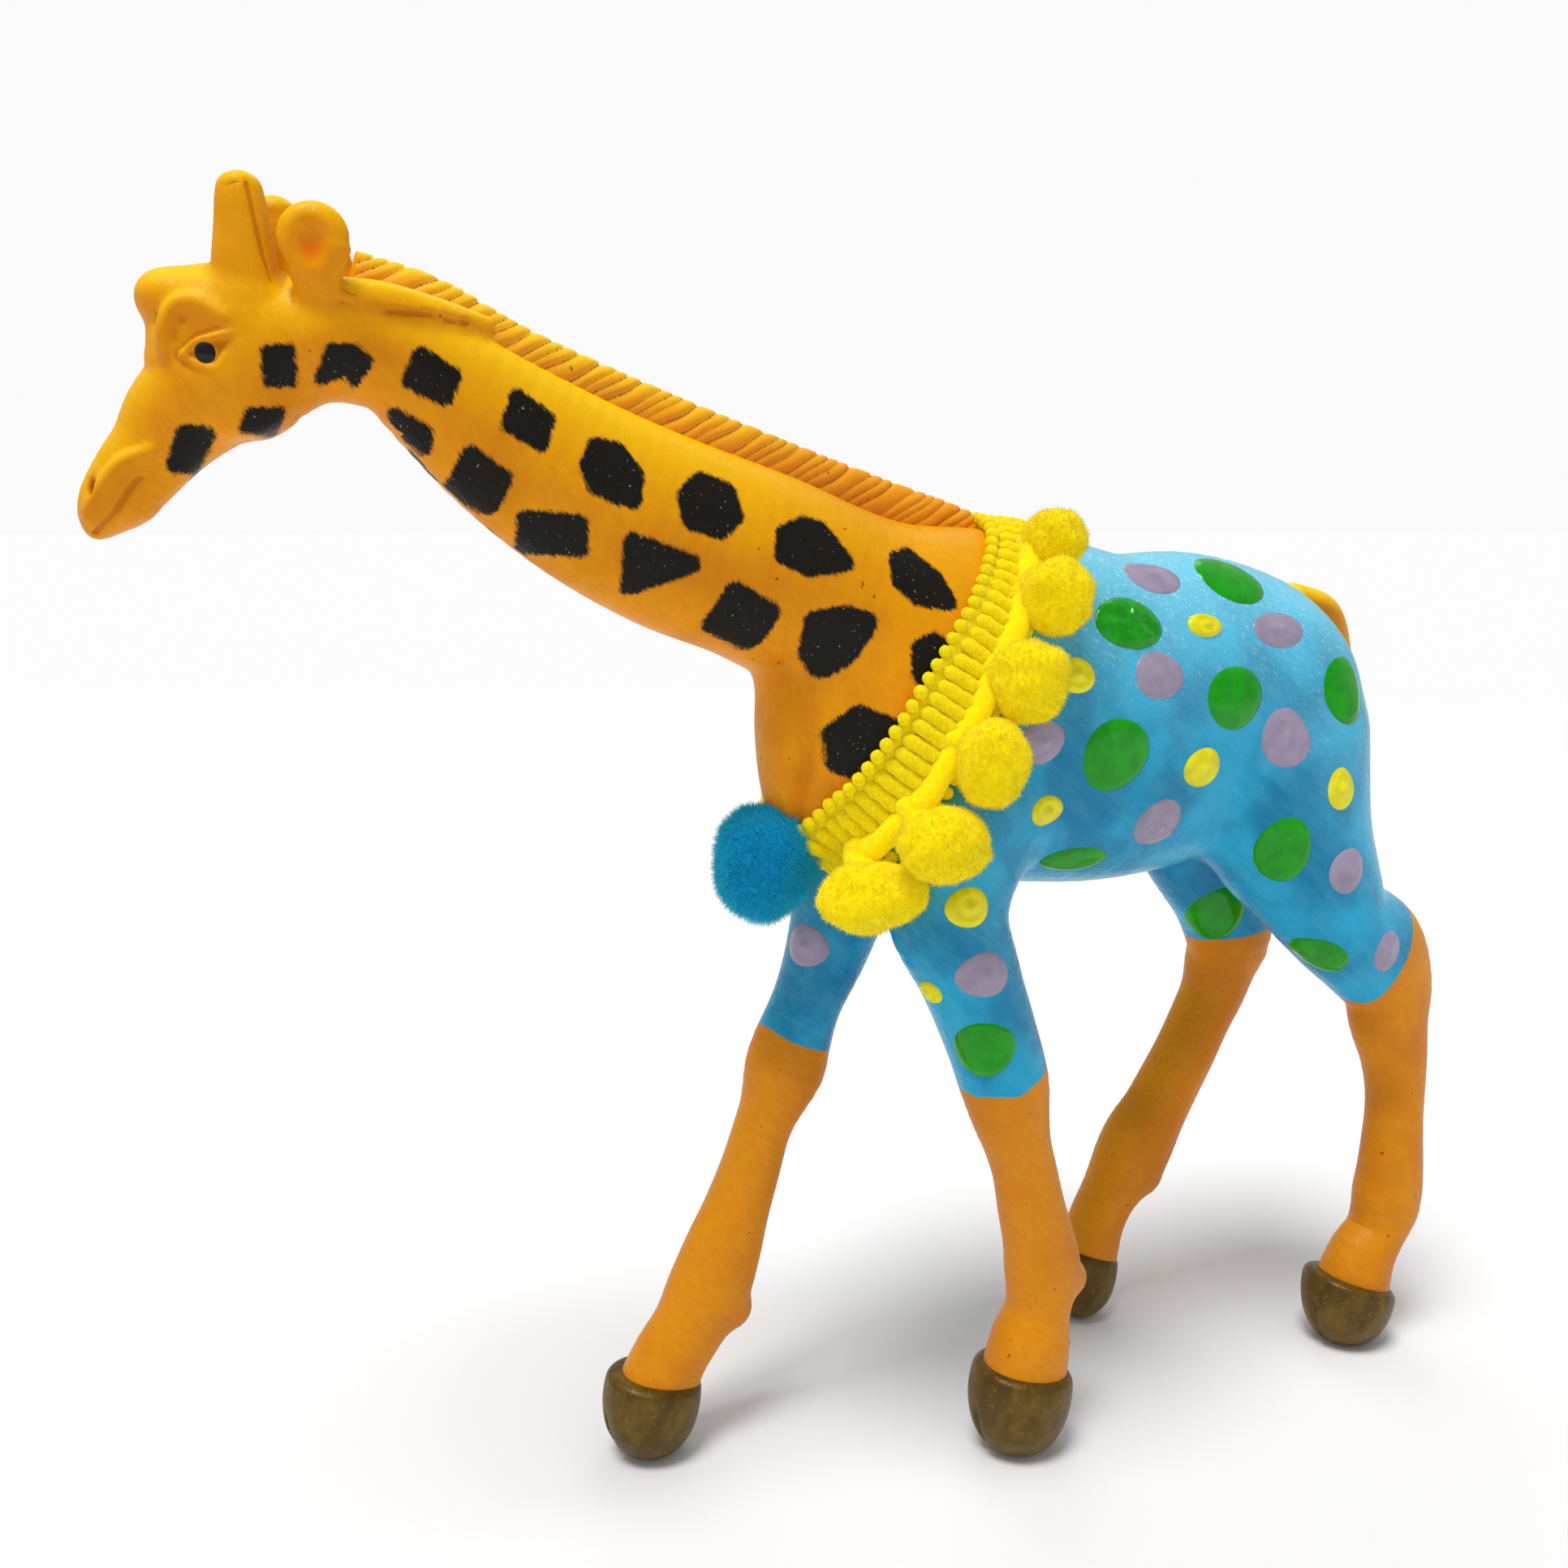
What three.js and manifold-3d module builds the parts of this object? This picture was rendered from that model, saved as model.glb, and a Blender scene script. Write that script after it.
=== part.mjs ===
// Painted giraffe figurine with a yellow trim collar, built as separate pieces that plug together.
// Millimetres, +Z up. The giraffe faces -Y, its left side is +X and its soles stand on z = 0.

import * as THREE from "three";
import { mergeVertices } from "three/addons/utils/BufferGeometryUtils.js";
import Module from "manifold-3d";

const wasm = await Module();
wasm.setup();

// Driving dimensions.
const GAP = 0.3; // clearance between neighbouring pieces
const HALF_GAP = GAP / 2;
const LEG_TOP_Z = 80; // the legs plug into the torso at this height
const LEG_TENON = { radius: 4, length: 6 };
const HOOF_HEIGHT = 9.6;
const HOOF_PEG = { radius: 2, length: 3.2 };
const NECK_TENON = { radius: 8, length: 8 };
const HEAD_TENON = { radius: 2.4, length: 5 };
const HEAD_YAW = THREE.MathUtils.degToRad(20); // the head looks to the giraffe's right
const BRAID_WIDTH = 9.5;
const BRAID_THICKNESS = 2.4;
const POM_RADIUS = 4.9;
const CHEST_POM_RADIUS = 7;
const HORN_PEG = { radius: 1.5, length: 3 };
const EAR_PEG = { radius: 1.1, length: 2.6 };
const TAIL_PEG = { radius: 1.4, length: 4 };
const FAR = 200; // size of the blocks that trim a piece along a plane

// The collar sits on a plane that leans from the withers down to the breast.
const COLLAR_TOP = new THREE.Vector3(0, -6.2, 134.5);
const COLLAR_FOOT = new THREE.Vector3(0, -36, 91);
const COLLAR_CENTRE = COLLAR_TOP.clone().lerp(COLLAR_FOOT, 0.5);
const COLLAR_AXIS = new THREE.Vector3()
  .subVectors(COLLAR_FOOT, COLLAR_TOP)
  .normalize()
  .cross(new THREE.Vector3(1, 0, 0));

// The head turns on a pivot at the end of the neck.
const HEAD_PIVOT = new THREE.Vector3(-1.5, -94.3, 0);
const HEAD_SEAM = new THREE.Vector3(0, 0, 151);
const HEAD_SEAM_AXIS = new THREE.Vector3(0, -0.97, 0.24).normalize();

// Swept bodies: each station is [x, y, z, half-width across, half-depth].
const TORSO = [
  [0, -33.6, 102, 4, 8], [0, -32, 102.3, 8.5, 14.5], [0, -28, 104, 12.5, 20], [0, -18, 106.5, 15.5, 25],
  [0, -4, 107, 16.5, 25], [0, 12, 105, 17, 23.7], [0, 28, 106, 16.5, 22.5], [0, 42, 105.3, 14.5, 19.2],
  [0, 51, 102.5, 10.5, 14], [0, 56, 100, 7, 9.5], [0, 58.5, 99, 3, 4],
];
const NECK = [
  [-1.6, -98, 153.2, 5.2, 5.6], [-1.1, -88, 150.8, 5.4, 7], [-0.8, -82.5, 147.5, 5.8, 8.1],
  [-0.5, -75, 142.3, 6.6, 9.6], [-0.2, -65.5, 136.5, 7.6, 11], [0, -55, 131.3, 8.8, 12.3],
  [0, -43, 126.5, 10.4, 13.4], [0, -31, 121, 12, 16], [0, -20, 114, 13.5, 19], [0, -10, 108, 12, 16],
];
const MANE = [
  [-1.5, -93.2, 158, 1.6, 3.2], [-1.1, -84.2, 155.4, 2.4, 4.2], [-0.6, -74.7, 151.5, 2.2, 4.3],
  [-0.2, -64.6, 147.5, 1.9, 4.3], [0, -52.4, 143.2, 1.9, 4.3], [0, -38.6, 138.7, 1.9, 4.3],
  [0, -23.2, 133.8, 1.9, 4.2], [0, -16.5, 131.8, 1.7, 3.6],
];
const TAIL = [
  [0, 50, 121.5, 3.2, 2.4], [-0.6, 57, 119, 3.4, 2.8], [-1.6, 62, 112.5, 2.6, 2.4], [-2.8, 65, 103, 2, 2],
  [-3.4, 66, 92, 1.8, 1.8], [-3.6, 65.8, 84, 2.4, 2.4], [-3.6, 65.5, 78, 1.6, 1.6],
];
const LEGS = {
  front_right: [
    [-7.5, -22, 92, 7, 11], [-8.5, -25, 82, 6.4, 7.8], [-9.2, -28, 74, 5.8, 5.8], [-9.8, -31.6, 62.5, 5, 4.9],
    [-10.2, -33.9, 56.7, 5.2, 5.4], [-10.5, -37.3, 46, 4.3, 4.2], [-11, -40, 39, 4.2, 4.3],
    [-11, -43.6, 29, 4.8, 5.4], [-11, -46, 22.5, 4.9, 5.8], [-11, -50, 16.5, 4.6, 5.2], [-11, -55, 8, 4.8, 5.6],
  ],
  front_left: [
    [8.5, -18, 93, 7.6, 12], [10, -20, 82, 7.6, 8.6], [11, -17, 73, 7, 7], [11.5, -13.4, 64, 6.3, 6.5],
    [12, -11.4, 56, 6, 6.1], [12, -8.8, 47, 5, 4.9], [12, -6.3, 38.5, 4.8, 4.9], [12, -3.9, 29, 5, 5.9],
    [12, -3.8, 22.5, 4.8, 5.2], [12, -5.5, 15.5, 5, 5.4], [12, -7, 8, 5, 5.6],
  ],
  rear_right: [
    [-8.5, 40, 98, 8, 14], [-9, 43, 84, 7.5, 11], [-10, 47.5, 73, 6.5, 8.8], [-11, 50.8, 64, 5.8, 7.4],
    [-12, 50.8, 56.7, 5.2, 6.2], [-12.5, 48, 49.8, 4.8, 5.4], [-12.5, 44.2, 43.1, 4.6, 5.2],
    [-12.5, 39.5, 36.6, 4.6, 5.4], [-12.5, 35, 30.2, 4.8, 6.2], [-12.5, 31.4, 24, 4.6, 5.8],
    [-12.5, 28.5, 18.5, 4.2, 4.7], [-12.5, 25.7, 8, 4.6, 5],
  ],
  rear_left: [
    [9, 40, 98, 8.5, 15], [10, 43.5, 88, 8.5, 13], [11, 48, 78, 8, 11.5], [12, 55, 69, 7, 10.8],
    [12.7, 60.5, 62, 6.2, 8.8], [13, 63.6, 55, 5.6, 6.6], [13, 65.8, 47.5, 5, 5.4], [13, 66.8, 38, 4.8, 4.9],
    [13, 66.8, 30, 5, 5.4], [13, 66.6, 24, 5.1, 5.8], [13, 64, 18, 4.9, 5.2], [13, 59, 8, 5, 5.4],
  ],
};
const HOOVES = {
  front_right: { at: [-11, -55.6], size: 6.3 },
  front_left: { at: [12, -7.3], size: 6.5 },
  rear_right: { at: [-12.5, 25.6], size: 5.9 },
  rear_left: { at: [13, 58.7], size: 6.3 },
};
// The head's own stations run forward along -Y from its pivot.
const HEAD = [
  [0, 3, 152, 5, 5.4], [0, -1.5, 152.6, 5.6, 7], [0, -6, 151.5, 6.3, 9], [0, -11.5, 151, 6.5, 9.6],
  [0, -15, 147.4, 6, 7.8], [0, -17.6, 143.8, 5, 5.7], [0, -20, 141, 4.5, 4.7], [0, -22.2, 138.2, 4.3, 4.5],
  [0, -24.4, 135.6, 4.1, 3.9], [0, -26.2, 133.7, 3.4, 2.5], [0, -27.2, 132.6, 2, 1.2],
];
const MUSCLES = [
  { centre: [8, 42, 98], radii: [9, 15.5, 23] },
  { centre: [8.5, -19, 104], radii: [7.5, 12, 20] },
];
// Yellow pompoms of the left side, from the withers down to the breast.
const POMS = [
  [12.2, -4.6, 131.2], [17.8, -8, 123.6], [21, -14.6, 113.3], [21, -20, 103], [19.8, -26.2, 92.6],
  [13.6, -33.2, 84.6],
];
const CHEST_POM = [-0.5, -43.6, 88.6];

const plain = (color, roughness) => new THREE.MeshStandardMaterial({ color, roughness, metalness: 0 });
const MATERIALS = {
  orange: () => plain(0xf5a000, 0.5),
  mane: () => plain(0xd98410, 0.6),
  blue: () => plain(0x4aa6dc, 0.45),
  bronze: () => new THREE.MeshStandardMaterial({ color: 0x8a5a1c, roughness: 0.4, metalness: 0.3 }),
  braid: () => plain(0xf0dc10, 0.95),
  pom: () => plain(0xf6e21c, 1),
  chest: () => plain(0x1c8fc8, 1),
};

/** Turns a closed three.js geometry into a solid that can be joined and cut. */
function solid(geometry) {
  const bare = geometry.clone();
  bare.deleteAttribute("normal");
  bare.deleteAttribute("uv");
  const merged = mergeVertices(bare, 1e-4);
  const vertProperties = new Float32Array(merged.attributes.position.array);
  const triVerts = new Uint32Array(merged.index.array);
  return new wasm.Manifold(new wasm.Mesh({ numProp: 3, vertProperties, triVerts }));
}

/** Turns a solid back into a three.js geometry. */
function surface(body) {
  const mesh = body.getMesh();
  const geometry = new THREE.BufferGeometry();
  geometry.setAttribute("position", new THREE.BufferAttribute(mesh.vertProperties, 3));
  geometry.setIndex(new THREE.BufferAttribute(mesh.triVerts, 1));
  geometry.computeVertexNormals();
  return geometry;
}

const join = (...bodies) => bodies.reduce((whole, body) => whole.add(body));
const cut = (body, ...tools) => tools.reduce((rest, tool) => rest.subtract(tool), body);

/** A closed body swept through its stations, grown by a margin all round. */
function sweep(stations, sides, rings, grow = 0) {
  const path = new THREE.CatmullRomCurve3(stations.map(([x, y, z]) => new THREE.Vector3(x, y, z)));
  const sizes = new THREE.CatmullRomCurve3(
    stations.map((station) => new THREE.Vector3(station[3] + grow, station[4] + grow, 0)),
  );
  const geometry = new THREE.CylinderGeometry(1, 1, 1, sides, rings);
  const position = geometry.attributes.position;
  const across = new THREE.Vector3();
  const depth = new THREE.Vector3();
  for (let i = 0; i < position.count; i++) {
    const t = THREE.MathUtils.clamp(0.5 - position.getY(i), 0, 1);
    const along = path.getTangent(t);
    const size = sizes.getPoint(t);
    across.set(1, 0, 0).addScaledVector(along, -along.x).normalize();
    depth.crossVectors(along, across);
    const point = path
      .getPoint(t)
      .addScaledVector(across, position.getX(i) * size.x)
      .addScaledVector(depth, position.getZ(i) * size.y);
    position.setXYZ(i, point.x, point.y, point.z);
  }
  return solid(geometry);
}

function ellipsoid([x, y, z], [rx, ry, rz], sides, rings) {
  const geometry = new THREE.SphereGeometry(1, sides, rings).rotateX(Math.PI / 2);
  return solid(geometry.scale(rx, ry, rz).translate(x, y, z));
}

/** A block that fills everything beyond a plane, on the side that its axis points to. */
function beyond(point, axis) {
  const block = new THREE.BoxGeometry(FAR, FAR, FAR).translate(0, 0, FAR / 2);
  const turn = new THREE.Quaternion().setFromUnitVectors(new THREE.Vector3(0, 0, 1), axis);
  return solid(block.applyQuaternion(turn).translate(point.x, point.y, point.z));
}

/** A round peg, or with a margin its socket, that reaches both ways from a seam. */
function peg(point, axis, { radius, length }, margin = 0) {
  const rod = new THREE.CylinderGeometry(radius + margin, radius + margin, 2 * (length + margin), 12);
  const turn = new THREE.Quaternion().setFromUnitVectors(new THREE.Vector3(0, 1, 0), axis);
  return solid(rod.applyQuaternion(turn).translate(point.x, point.y, point.z));
}

const mirrored = ([x, y, z]) => [-x, y, z];
const offset = (point, axis, distance) => point.clone().addScaledVector(axis, distance);
const UP = new THREE.Vector3(0, 0, 1);
const DOWN = new THREE.Vector3(0, 0, -1);

/** The whole trunk and neck as one form, before it is parted at the collar. */
function trunk(grow = 0) {
  const above = beyond(new THREE.Vector3(0, 0, LEG_TOP_Z + HALF_GAP - grow), DOWN);
  const bodies = [sweep(TORSO, 24, 18, grow), sweep(NECK, 20, 20, grow)];
  for (const { centre, radii } of MUSCLES) {
    const grown = radii.map((radius) => radius + grow);
    bodies.push(ellipsoid(centre, grown, 14, 10), ellipsoid(mirrored(centre), grown, 14, 10));
  }
  for (const stations of Object.values(LEGS)) {
    bodies.push(sweep(stations.slice(0, 4), 14, 5, grow));
  }
  return cut(join(...bodies), above);
}

function legTop(stations) {
  const path = new THREE.CatmullRomCurve3(stations.map(([x, y, z]) => new THREE.Vector3(x, y, z)));
  return path.getPoints(400).reduce((best, point) =>
    Math.abs(point.z - LEG_TOP_Z) < Math.abs(best.z - LEG_TOP_Z) ? point : best,
  );
}

const figure = new THREE.Group();

function place(name, body, material, parent = figure) {
  const mesh = new THREE.Mesh(surface(body), material());
  mesh.name = name;
  parent.add(mesh);
  return mesh;
}

// Trunk, parted along the middle of the collar.
const wholeTrunk = trunk();
const collarTenon = (margin) => peg(COLLAR_CENTRE, COLLAR_AXIS, NECK_TENON, margin);
const behindSeam = beyond(offset(COLLAR_CENTRE, COLLAR_AXIS, HALF_GAP), COLLAR_AXIS.clone().negate());
const inFrontOfSeam = beyond(offset(COLLAR_CENTRE, COLLAR_AXIS, -HALF_GAP), COLLAR_AXIS);

function legTenon(stations, margin) {
  return peg(legTop(stations), UP, LEG_TENON, margin);
}

const tailRoot = new THREE.Vector3(-0.5, 56, 119);
const tailAxis = new THREE.Vector3(0, 0.55, 0.83).normalize();
const tail = sweep(TAIL, 10, 18);
const tailSocket = peg(offset(tailRoot, tailAxis, -1), tailAxis, TAIL_PEG, GAP);
const torsoSockets = Object.values(LEGS).map((stations) => legTenon(stations, GAP));
const torso = cut(wholeTrunk, inFrontOfSeam, collarTenon(GAP), sweep(TAIL, 10, 18, GAP), tailSocket, ...torsoSockets);
place("torso", torso, MATERIALS.blue);
const tailPeg = peg(offset(tailRoot, tailAxis, -1), tailAxis, TAIL_PEG);
place("tail", join(cut(tail, trunk(GAP)), tailPeg), MATERIALS.orange);

// Neck, with a slot along its crest for the mane and a socket for the head.
const headAxis = HEAD_SEAM_AXIS;
const headSeamPoint = HEAD_PIVOT.clone().add(HEAD_SEAM);
const pastNeck = beyond(offset(headSeamPoint, headAxis, -HALF_GAP), headAxis);
const neck = cut(
  join(cut(wholeTrunk, behindSeam), collarTenon(0)),
  pastNeck,
  sweep(MANE, 8, 26, GAP),
  peg(headSeamPoint, headAxis, HEAD_TENON, GAP),
);
place("neck", neck, MATERIALS.orange);
place("mane", cut(sweep(MANE, 8, 26), pastNeck), MATERIALS.mane);

// Head with its horns and ears, in a group that turns about the end of the neck.
const headGroup = new THREE.Group();
headGroup.position.copy(HEAD_PIVOT);
headGroup.rotation.z = -HEAD_YAW;
figure.add(headGroup);

const seamInHead = HEAD_SEAM_AXIS.clone().applyAxisAngle(UP, HEAD_YAW);
const HORNS = {
  left: [3, -8.4, 156],
  right: [-3, -6.6, 155.4],
};
const EARS = {
  left: [5.9, -0.6, 161.1],
  right: [-5.9, -0.6, 161.1],
};

/** A horn: an upright post with a rounded top, wider fore and aft than across. */
function horn(at, margin = 0) {
  const profile = [[0, 0], [3.4, 0], [3.3, 4.5], [2.8, 8], [2.4, 11], [2.2, 12.3], [1.5, 13.1], [0, 13.5]].map(
    ([radius, height]) => new THREE.Vector2(radius && radius + margin, height - (height ? 0 : margin)),
  );
  const post = new THREE.LatheGeometry(profile, 12).rotateX(Math.PI / 2);
  return solid(post.scale(0.8, 1, 1).translate(...at));
}

/** An ear: a round paddle, hollowed on its outer face, on a short stalk. */
function ear([x, y, z]) {
  const side = Math.sign(x);
  const paddle = ellipsoid([x, y, z], [1.7, 3.7, 4.6], 12, 8);
  const bowl = ellipsoid([x + side * 1.9, y, z], [1.6, 2.3, 2.9], 10, 6);
  return cut(paddle, bowl);
}

const forehead = ellipsoid([0, -17.2, 156.6], [4.2, 3.5, 3.1], 12, 8);
const skull = join(sweep(HEAD, 18, 20), forehead);
const headParts = [cut(skull, beyond(offset(HEAD_SEAM, seamInHead, HALF_GAP), seamInHead.clone().negate()))];
headParts.push(peg(HEAD_SEAM, seamInHead, HEAD_TENON));
const headTools = [];
for (const [side, at] of Object.entries(HORNS)) {
  const foot = new THREE.Vector3(...at);
  place(`horn_${side}`, join(horn(at), peg(foot, UP, HORN_PEG)), MATERIALS.orange, headGroup);
  headTools.push(horn(at, GAP), peg(foot, UP, HORN_PEG, GAP));
}
for (const [side, at] of Object.entries(EARS)) {
  const inward = new THREE.Vector3(-Math.sign(at[0]), -0.25, -1.6).normalize();
  const root = new THREE.Vector3(at[0] - Math.sign(at[0]), at[1] - 0.5, at[2] - 4.2);
  const skin = cut(ear(at), sweep(HEAD, 18, 20, GAP), horn(HORNS[side], GAP));
  place(`ear_${side}`, join(skin, peg(root, inward, EAR_PEG)), MATERIALS.orange, headGroup);
  headTools.push(peg(root, inward, EAR_PEG, GAP));
}
place("head", cut(join(...headParts), ...headTools), MATERIALS.orange, headGroup);

// Legs and hooves.
const hoofTop = (at) => new THREE.Vector3(at[0], at[1], HOOF_HEIGHT);
for (const [corner, stations] of Object.entries(LEGS)) {
  const { at, size } = HOOVES[corner];
  const top = beyond(new THREE.Vector3(0, 0, LEG_TOP_Z - HALF_GAP), UP);
  const bottom = beyond(new THREE.Vector3(0, 0, HOOF_HEIGHT + HALF_GAP), DOWN);
  const shaft = cut(sweep(stations, 14, 22), top, bottom);
  const leg = join(shaft, legTenon(stations, 0), peg(hoofTop(at), UP, HOOF_PEG));
  place(`leg_${corner}`, leg, MATERIALS.orange);

  const profile = [
    [0, 0], [size - 1.6, 0], [size - 0.5, 1.2], [size, 3.4], [size - 0.2, 6], [size - 0.6, 8.4],
    [size - 1.1, HOOF_HEIGHT - HALF_GAP], [0, HOOF_HEIGHT - HALF_GAP],
  ].map(([radius, height]) => new THREE.Vector2(radius, height));
  const horny = solid(new THREE.LatheGeometry(profile, 16).rotateX(Math.PI / 2).scale(0.93, 1, 1));
  const hoof = horny.subtract(peg(new THREE.Vector3(0, 0, HOOF_HEIGHT), UP, HOOF_PEG, GAP));
  place(`hoof_${corner}`, hoof, MATERIALS.bronze).position.set(at[0], at[1], 0);
}

// Collar: a braid wrapped round the seam, with pompoms along its rear edge.
function band(grow, width) {
  const front = beyond(offset(COLLAR_CENTRE, COLLAR_AXIS, width / 2), COLLAR_AXIS);
  const rear = beyond(offset(COLLAR_CENTRE, COLLAR_AXIS, -width / 2), COLLAR_AXIS.clone().negate());
  return cut(trunk(grow), front, rear);
}

const trunkWithRoom = trunk(2 * GAP);
const braidWithRoom = band(BRAID_THICKNESS + 3 * GAP, BRAID_WIDTH + 2 * GAP);
place("collar_braid", cut(band(BRAID_THICKNESS + 2 * GAP, BRAID_WIDTH), trunkWithRoom), MATERIALS.braid);

function pom(name, centre, radius, material) {
  const radii = [radius, radius, radius * 0.94];
  place(name, cut(ellipsoid(centre, radii, 12, 8), trunkWithRoom, braidWithRoom), material);
}

POMS.forEach((centre, index) => {
  pom(`pom_left_${index + 1}`, centre, POM_RADIUS, MATERIALS.pom);
  pom(`pom_right_${index + 1}`, mirrored(centre), POM_RADIUS, MATERIALS.pom);
});
pom("chest_pom", CHEST_POM, CHEST_POM_RADIUS, MATERIALS.chest);

// The origin is at the middle of the footprint of the whole figure.
const box = new THREE.Box3().setFromObject(figure);
const middle = box.getCenter(new THREE.Vector3());
figure.position.set(-middle.x, -middle.y, -box.min.z);

export default figure;
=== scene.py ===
"""Looks of the painted giraffe figurine with its pompom collar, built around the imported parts.

The figure is sculpted as one field of signed distances, in millimetres, and parted into the same
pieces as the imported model. The giraffe faces -Y, its left side is +X, and it stands on z = 0.
"""

import copy
import math
import random

import bmesh
import bpy
import numpy as np
import openvdb
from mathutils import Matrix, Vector, noise
from mathutils.bvhtree import BVHTree


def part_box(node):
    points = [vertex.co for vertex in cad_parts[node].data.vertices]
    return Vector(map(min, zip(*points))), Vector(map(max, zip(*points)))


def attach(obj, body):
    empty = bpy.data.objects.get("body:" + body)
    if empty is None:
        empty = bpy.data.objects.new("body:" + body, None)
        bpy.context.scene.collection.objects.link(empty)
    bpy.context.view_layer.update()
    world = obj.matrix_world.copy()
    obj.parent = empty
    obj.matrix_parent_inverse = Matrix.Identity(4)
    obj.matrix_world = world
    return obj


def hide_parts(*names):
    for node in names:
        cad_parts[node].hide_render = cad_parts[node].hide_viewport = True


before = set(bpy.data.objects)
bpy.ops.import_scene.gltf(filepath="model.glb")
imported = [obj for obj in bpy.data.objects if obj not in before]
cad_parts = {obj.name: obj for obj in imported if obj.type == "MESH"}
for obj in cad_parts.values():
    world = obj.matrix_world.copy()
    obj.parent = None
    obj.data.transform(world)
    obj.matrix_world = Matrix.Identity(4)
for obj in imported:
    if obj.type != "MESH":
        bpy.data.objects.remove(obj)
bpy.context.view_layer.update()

MM = 0.001
SEED = 7
UP = np.array([0.0, 0.0, 1.0])
# Where the left fore hoof stands in the sculpt, along Y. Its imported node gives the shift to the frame.
FORE_HOOF_Y = -7.3


def box_middle(node):
    low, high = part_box(node)
    return [(low[axis] + high[axis]) / 2 / MM for axis in range(3)]


SHIFT = np.array([0.0, box_middle("hoof_front_left")[1] - FORE_HOOF_Y, 0.0])


def to_frame(points):
    """Sculpt millimetres to frame metres."""
    return (np.asarray(points, float) + SHIFT) * MM


# ---- camera, light and floor

CAMERA_PLACE = (169.8, -126.0, 132.6)
CAMERA_AZIMUTH = math.radians(63)
CAMERA_DIP = math.radians(10)
SENSOR = 36.0
LENS = 33.54
# Brightness of the backdrop as the camera sees it, and of the light that it gives.
BACKDROP = 0.96
SKY_LIGHT = 0.46
KEY_LIGHT = 2.25
KEY_FROM = (0.16, -0.30, 1.0)
KEY_ANGLE = math.radians(22)
RIM_LIGHT = 0.4
RIM_PLACE = (-0.35, 0.25, 0.55)
RIM_TARGET = (0, 0, 0.09)
RIM_SIZE = 0.35
FLOOR_SIZE = 60
FLOOR_GREY = 0.86


def make_camera():
    data = bpy.data.cameras.new("camera")
    data.sensor_width = SENSOR
    data.lens = LENS
    data.clip_start = 0.01
    camera = bpy.data.objects.new("camera", data)
    camera.location = to_frame(CAMERA_PLACE)
    forward = Vector((
        -math.sin(CAMERA_AZIMUTH) * math.cos(CAMERA_DIP),
        math.cos(CAMERA_AZIMUTH) * math.cos(CAMERA_DIP),
        -math.sin(CAMERA_DIP),
    ))
    camera.rotation_mode = "QUATERNION"
    camera.rotation_quaternion = forward.to_track_quat("-Z", "Y")
    bpy.context.collection.objects.link(camera)
    bpy.context.scene.camera = camera


def add_light(name, kind, energy, toward, **settings):
    """A light that shines from the direction toward; returns its object."""
    data = bpy.data.lights.new(name, kind)
    data.energy = energy
    for key, value in settings.items():
        setattr(data, key, value)
    light = bpy.data.objects.new(name, data)
    light.rotation_mode = "QUATERNION"
    light.rotation_quaternion = Vector(toward).to_track_quat("Z", "Y")
    bpy.context.collection.objects.link(light)
    return light


def make_stage():
    bpy.ops.mesh.primitive_plane_add(size=FLOOR_SIZE)
    floor = bpy.context.object
    floor.name = "floor"
    paint = bpy.data.materials.new("floor_pale")
    paint.use_nodes = True
    shader = paint.node_tree.nodes["Principled BSDF"]
    shader.inputs["Base Color"].default_value = (FLOOR_GREY, FLOOR_GREY, FLOOR_GREY, 1)
    shader.inputs["Roughness"].default_value = 0.9
    shader.inputs["Specular IOR Level"].default_value = 0.0
    floor.data.materials.append(paint)
    world = bpy.data.worlds.new("soft_studio")
    world.use_nodes = True
    nodes, links = world.node_tree.nodes, world.node_tree.links
    nodes["Background"].inputs["Color"].default_value = (1, 1, 1, 1)
    level = nodes.new("ShaderNodeMapRange")
    level.inputs["To Min"].default_value = SKY_LIGHT
    level.inputs["To Max"].default_value = BACKDROP
    links.new(nodes.new("ShaderNodeLightPath").outputs["Is Camera Ray"], level.inputs["Value"])
    links.new(level.outputs[0], nodes["Background"].inputs["Strength"])
    bpy.context.scene.world = world
    bpy.context.scene.view_settings.view_transform = "Standard"
    add_light("key_light", "SUN", KEY_LIGHT, KEY_FROM, angle=KEY_ANGLE)
    from_rim = Vector(RIM_PLACE) - Vector(RIM_TARGET)
    add_light("rim_light", "AREA", RIM_LIGHT, from_rim, shape="DISK", size=RIM_SIZE).location = RIM_PLACE


# ---- field of signed distances


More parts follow.
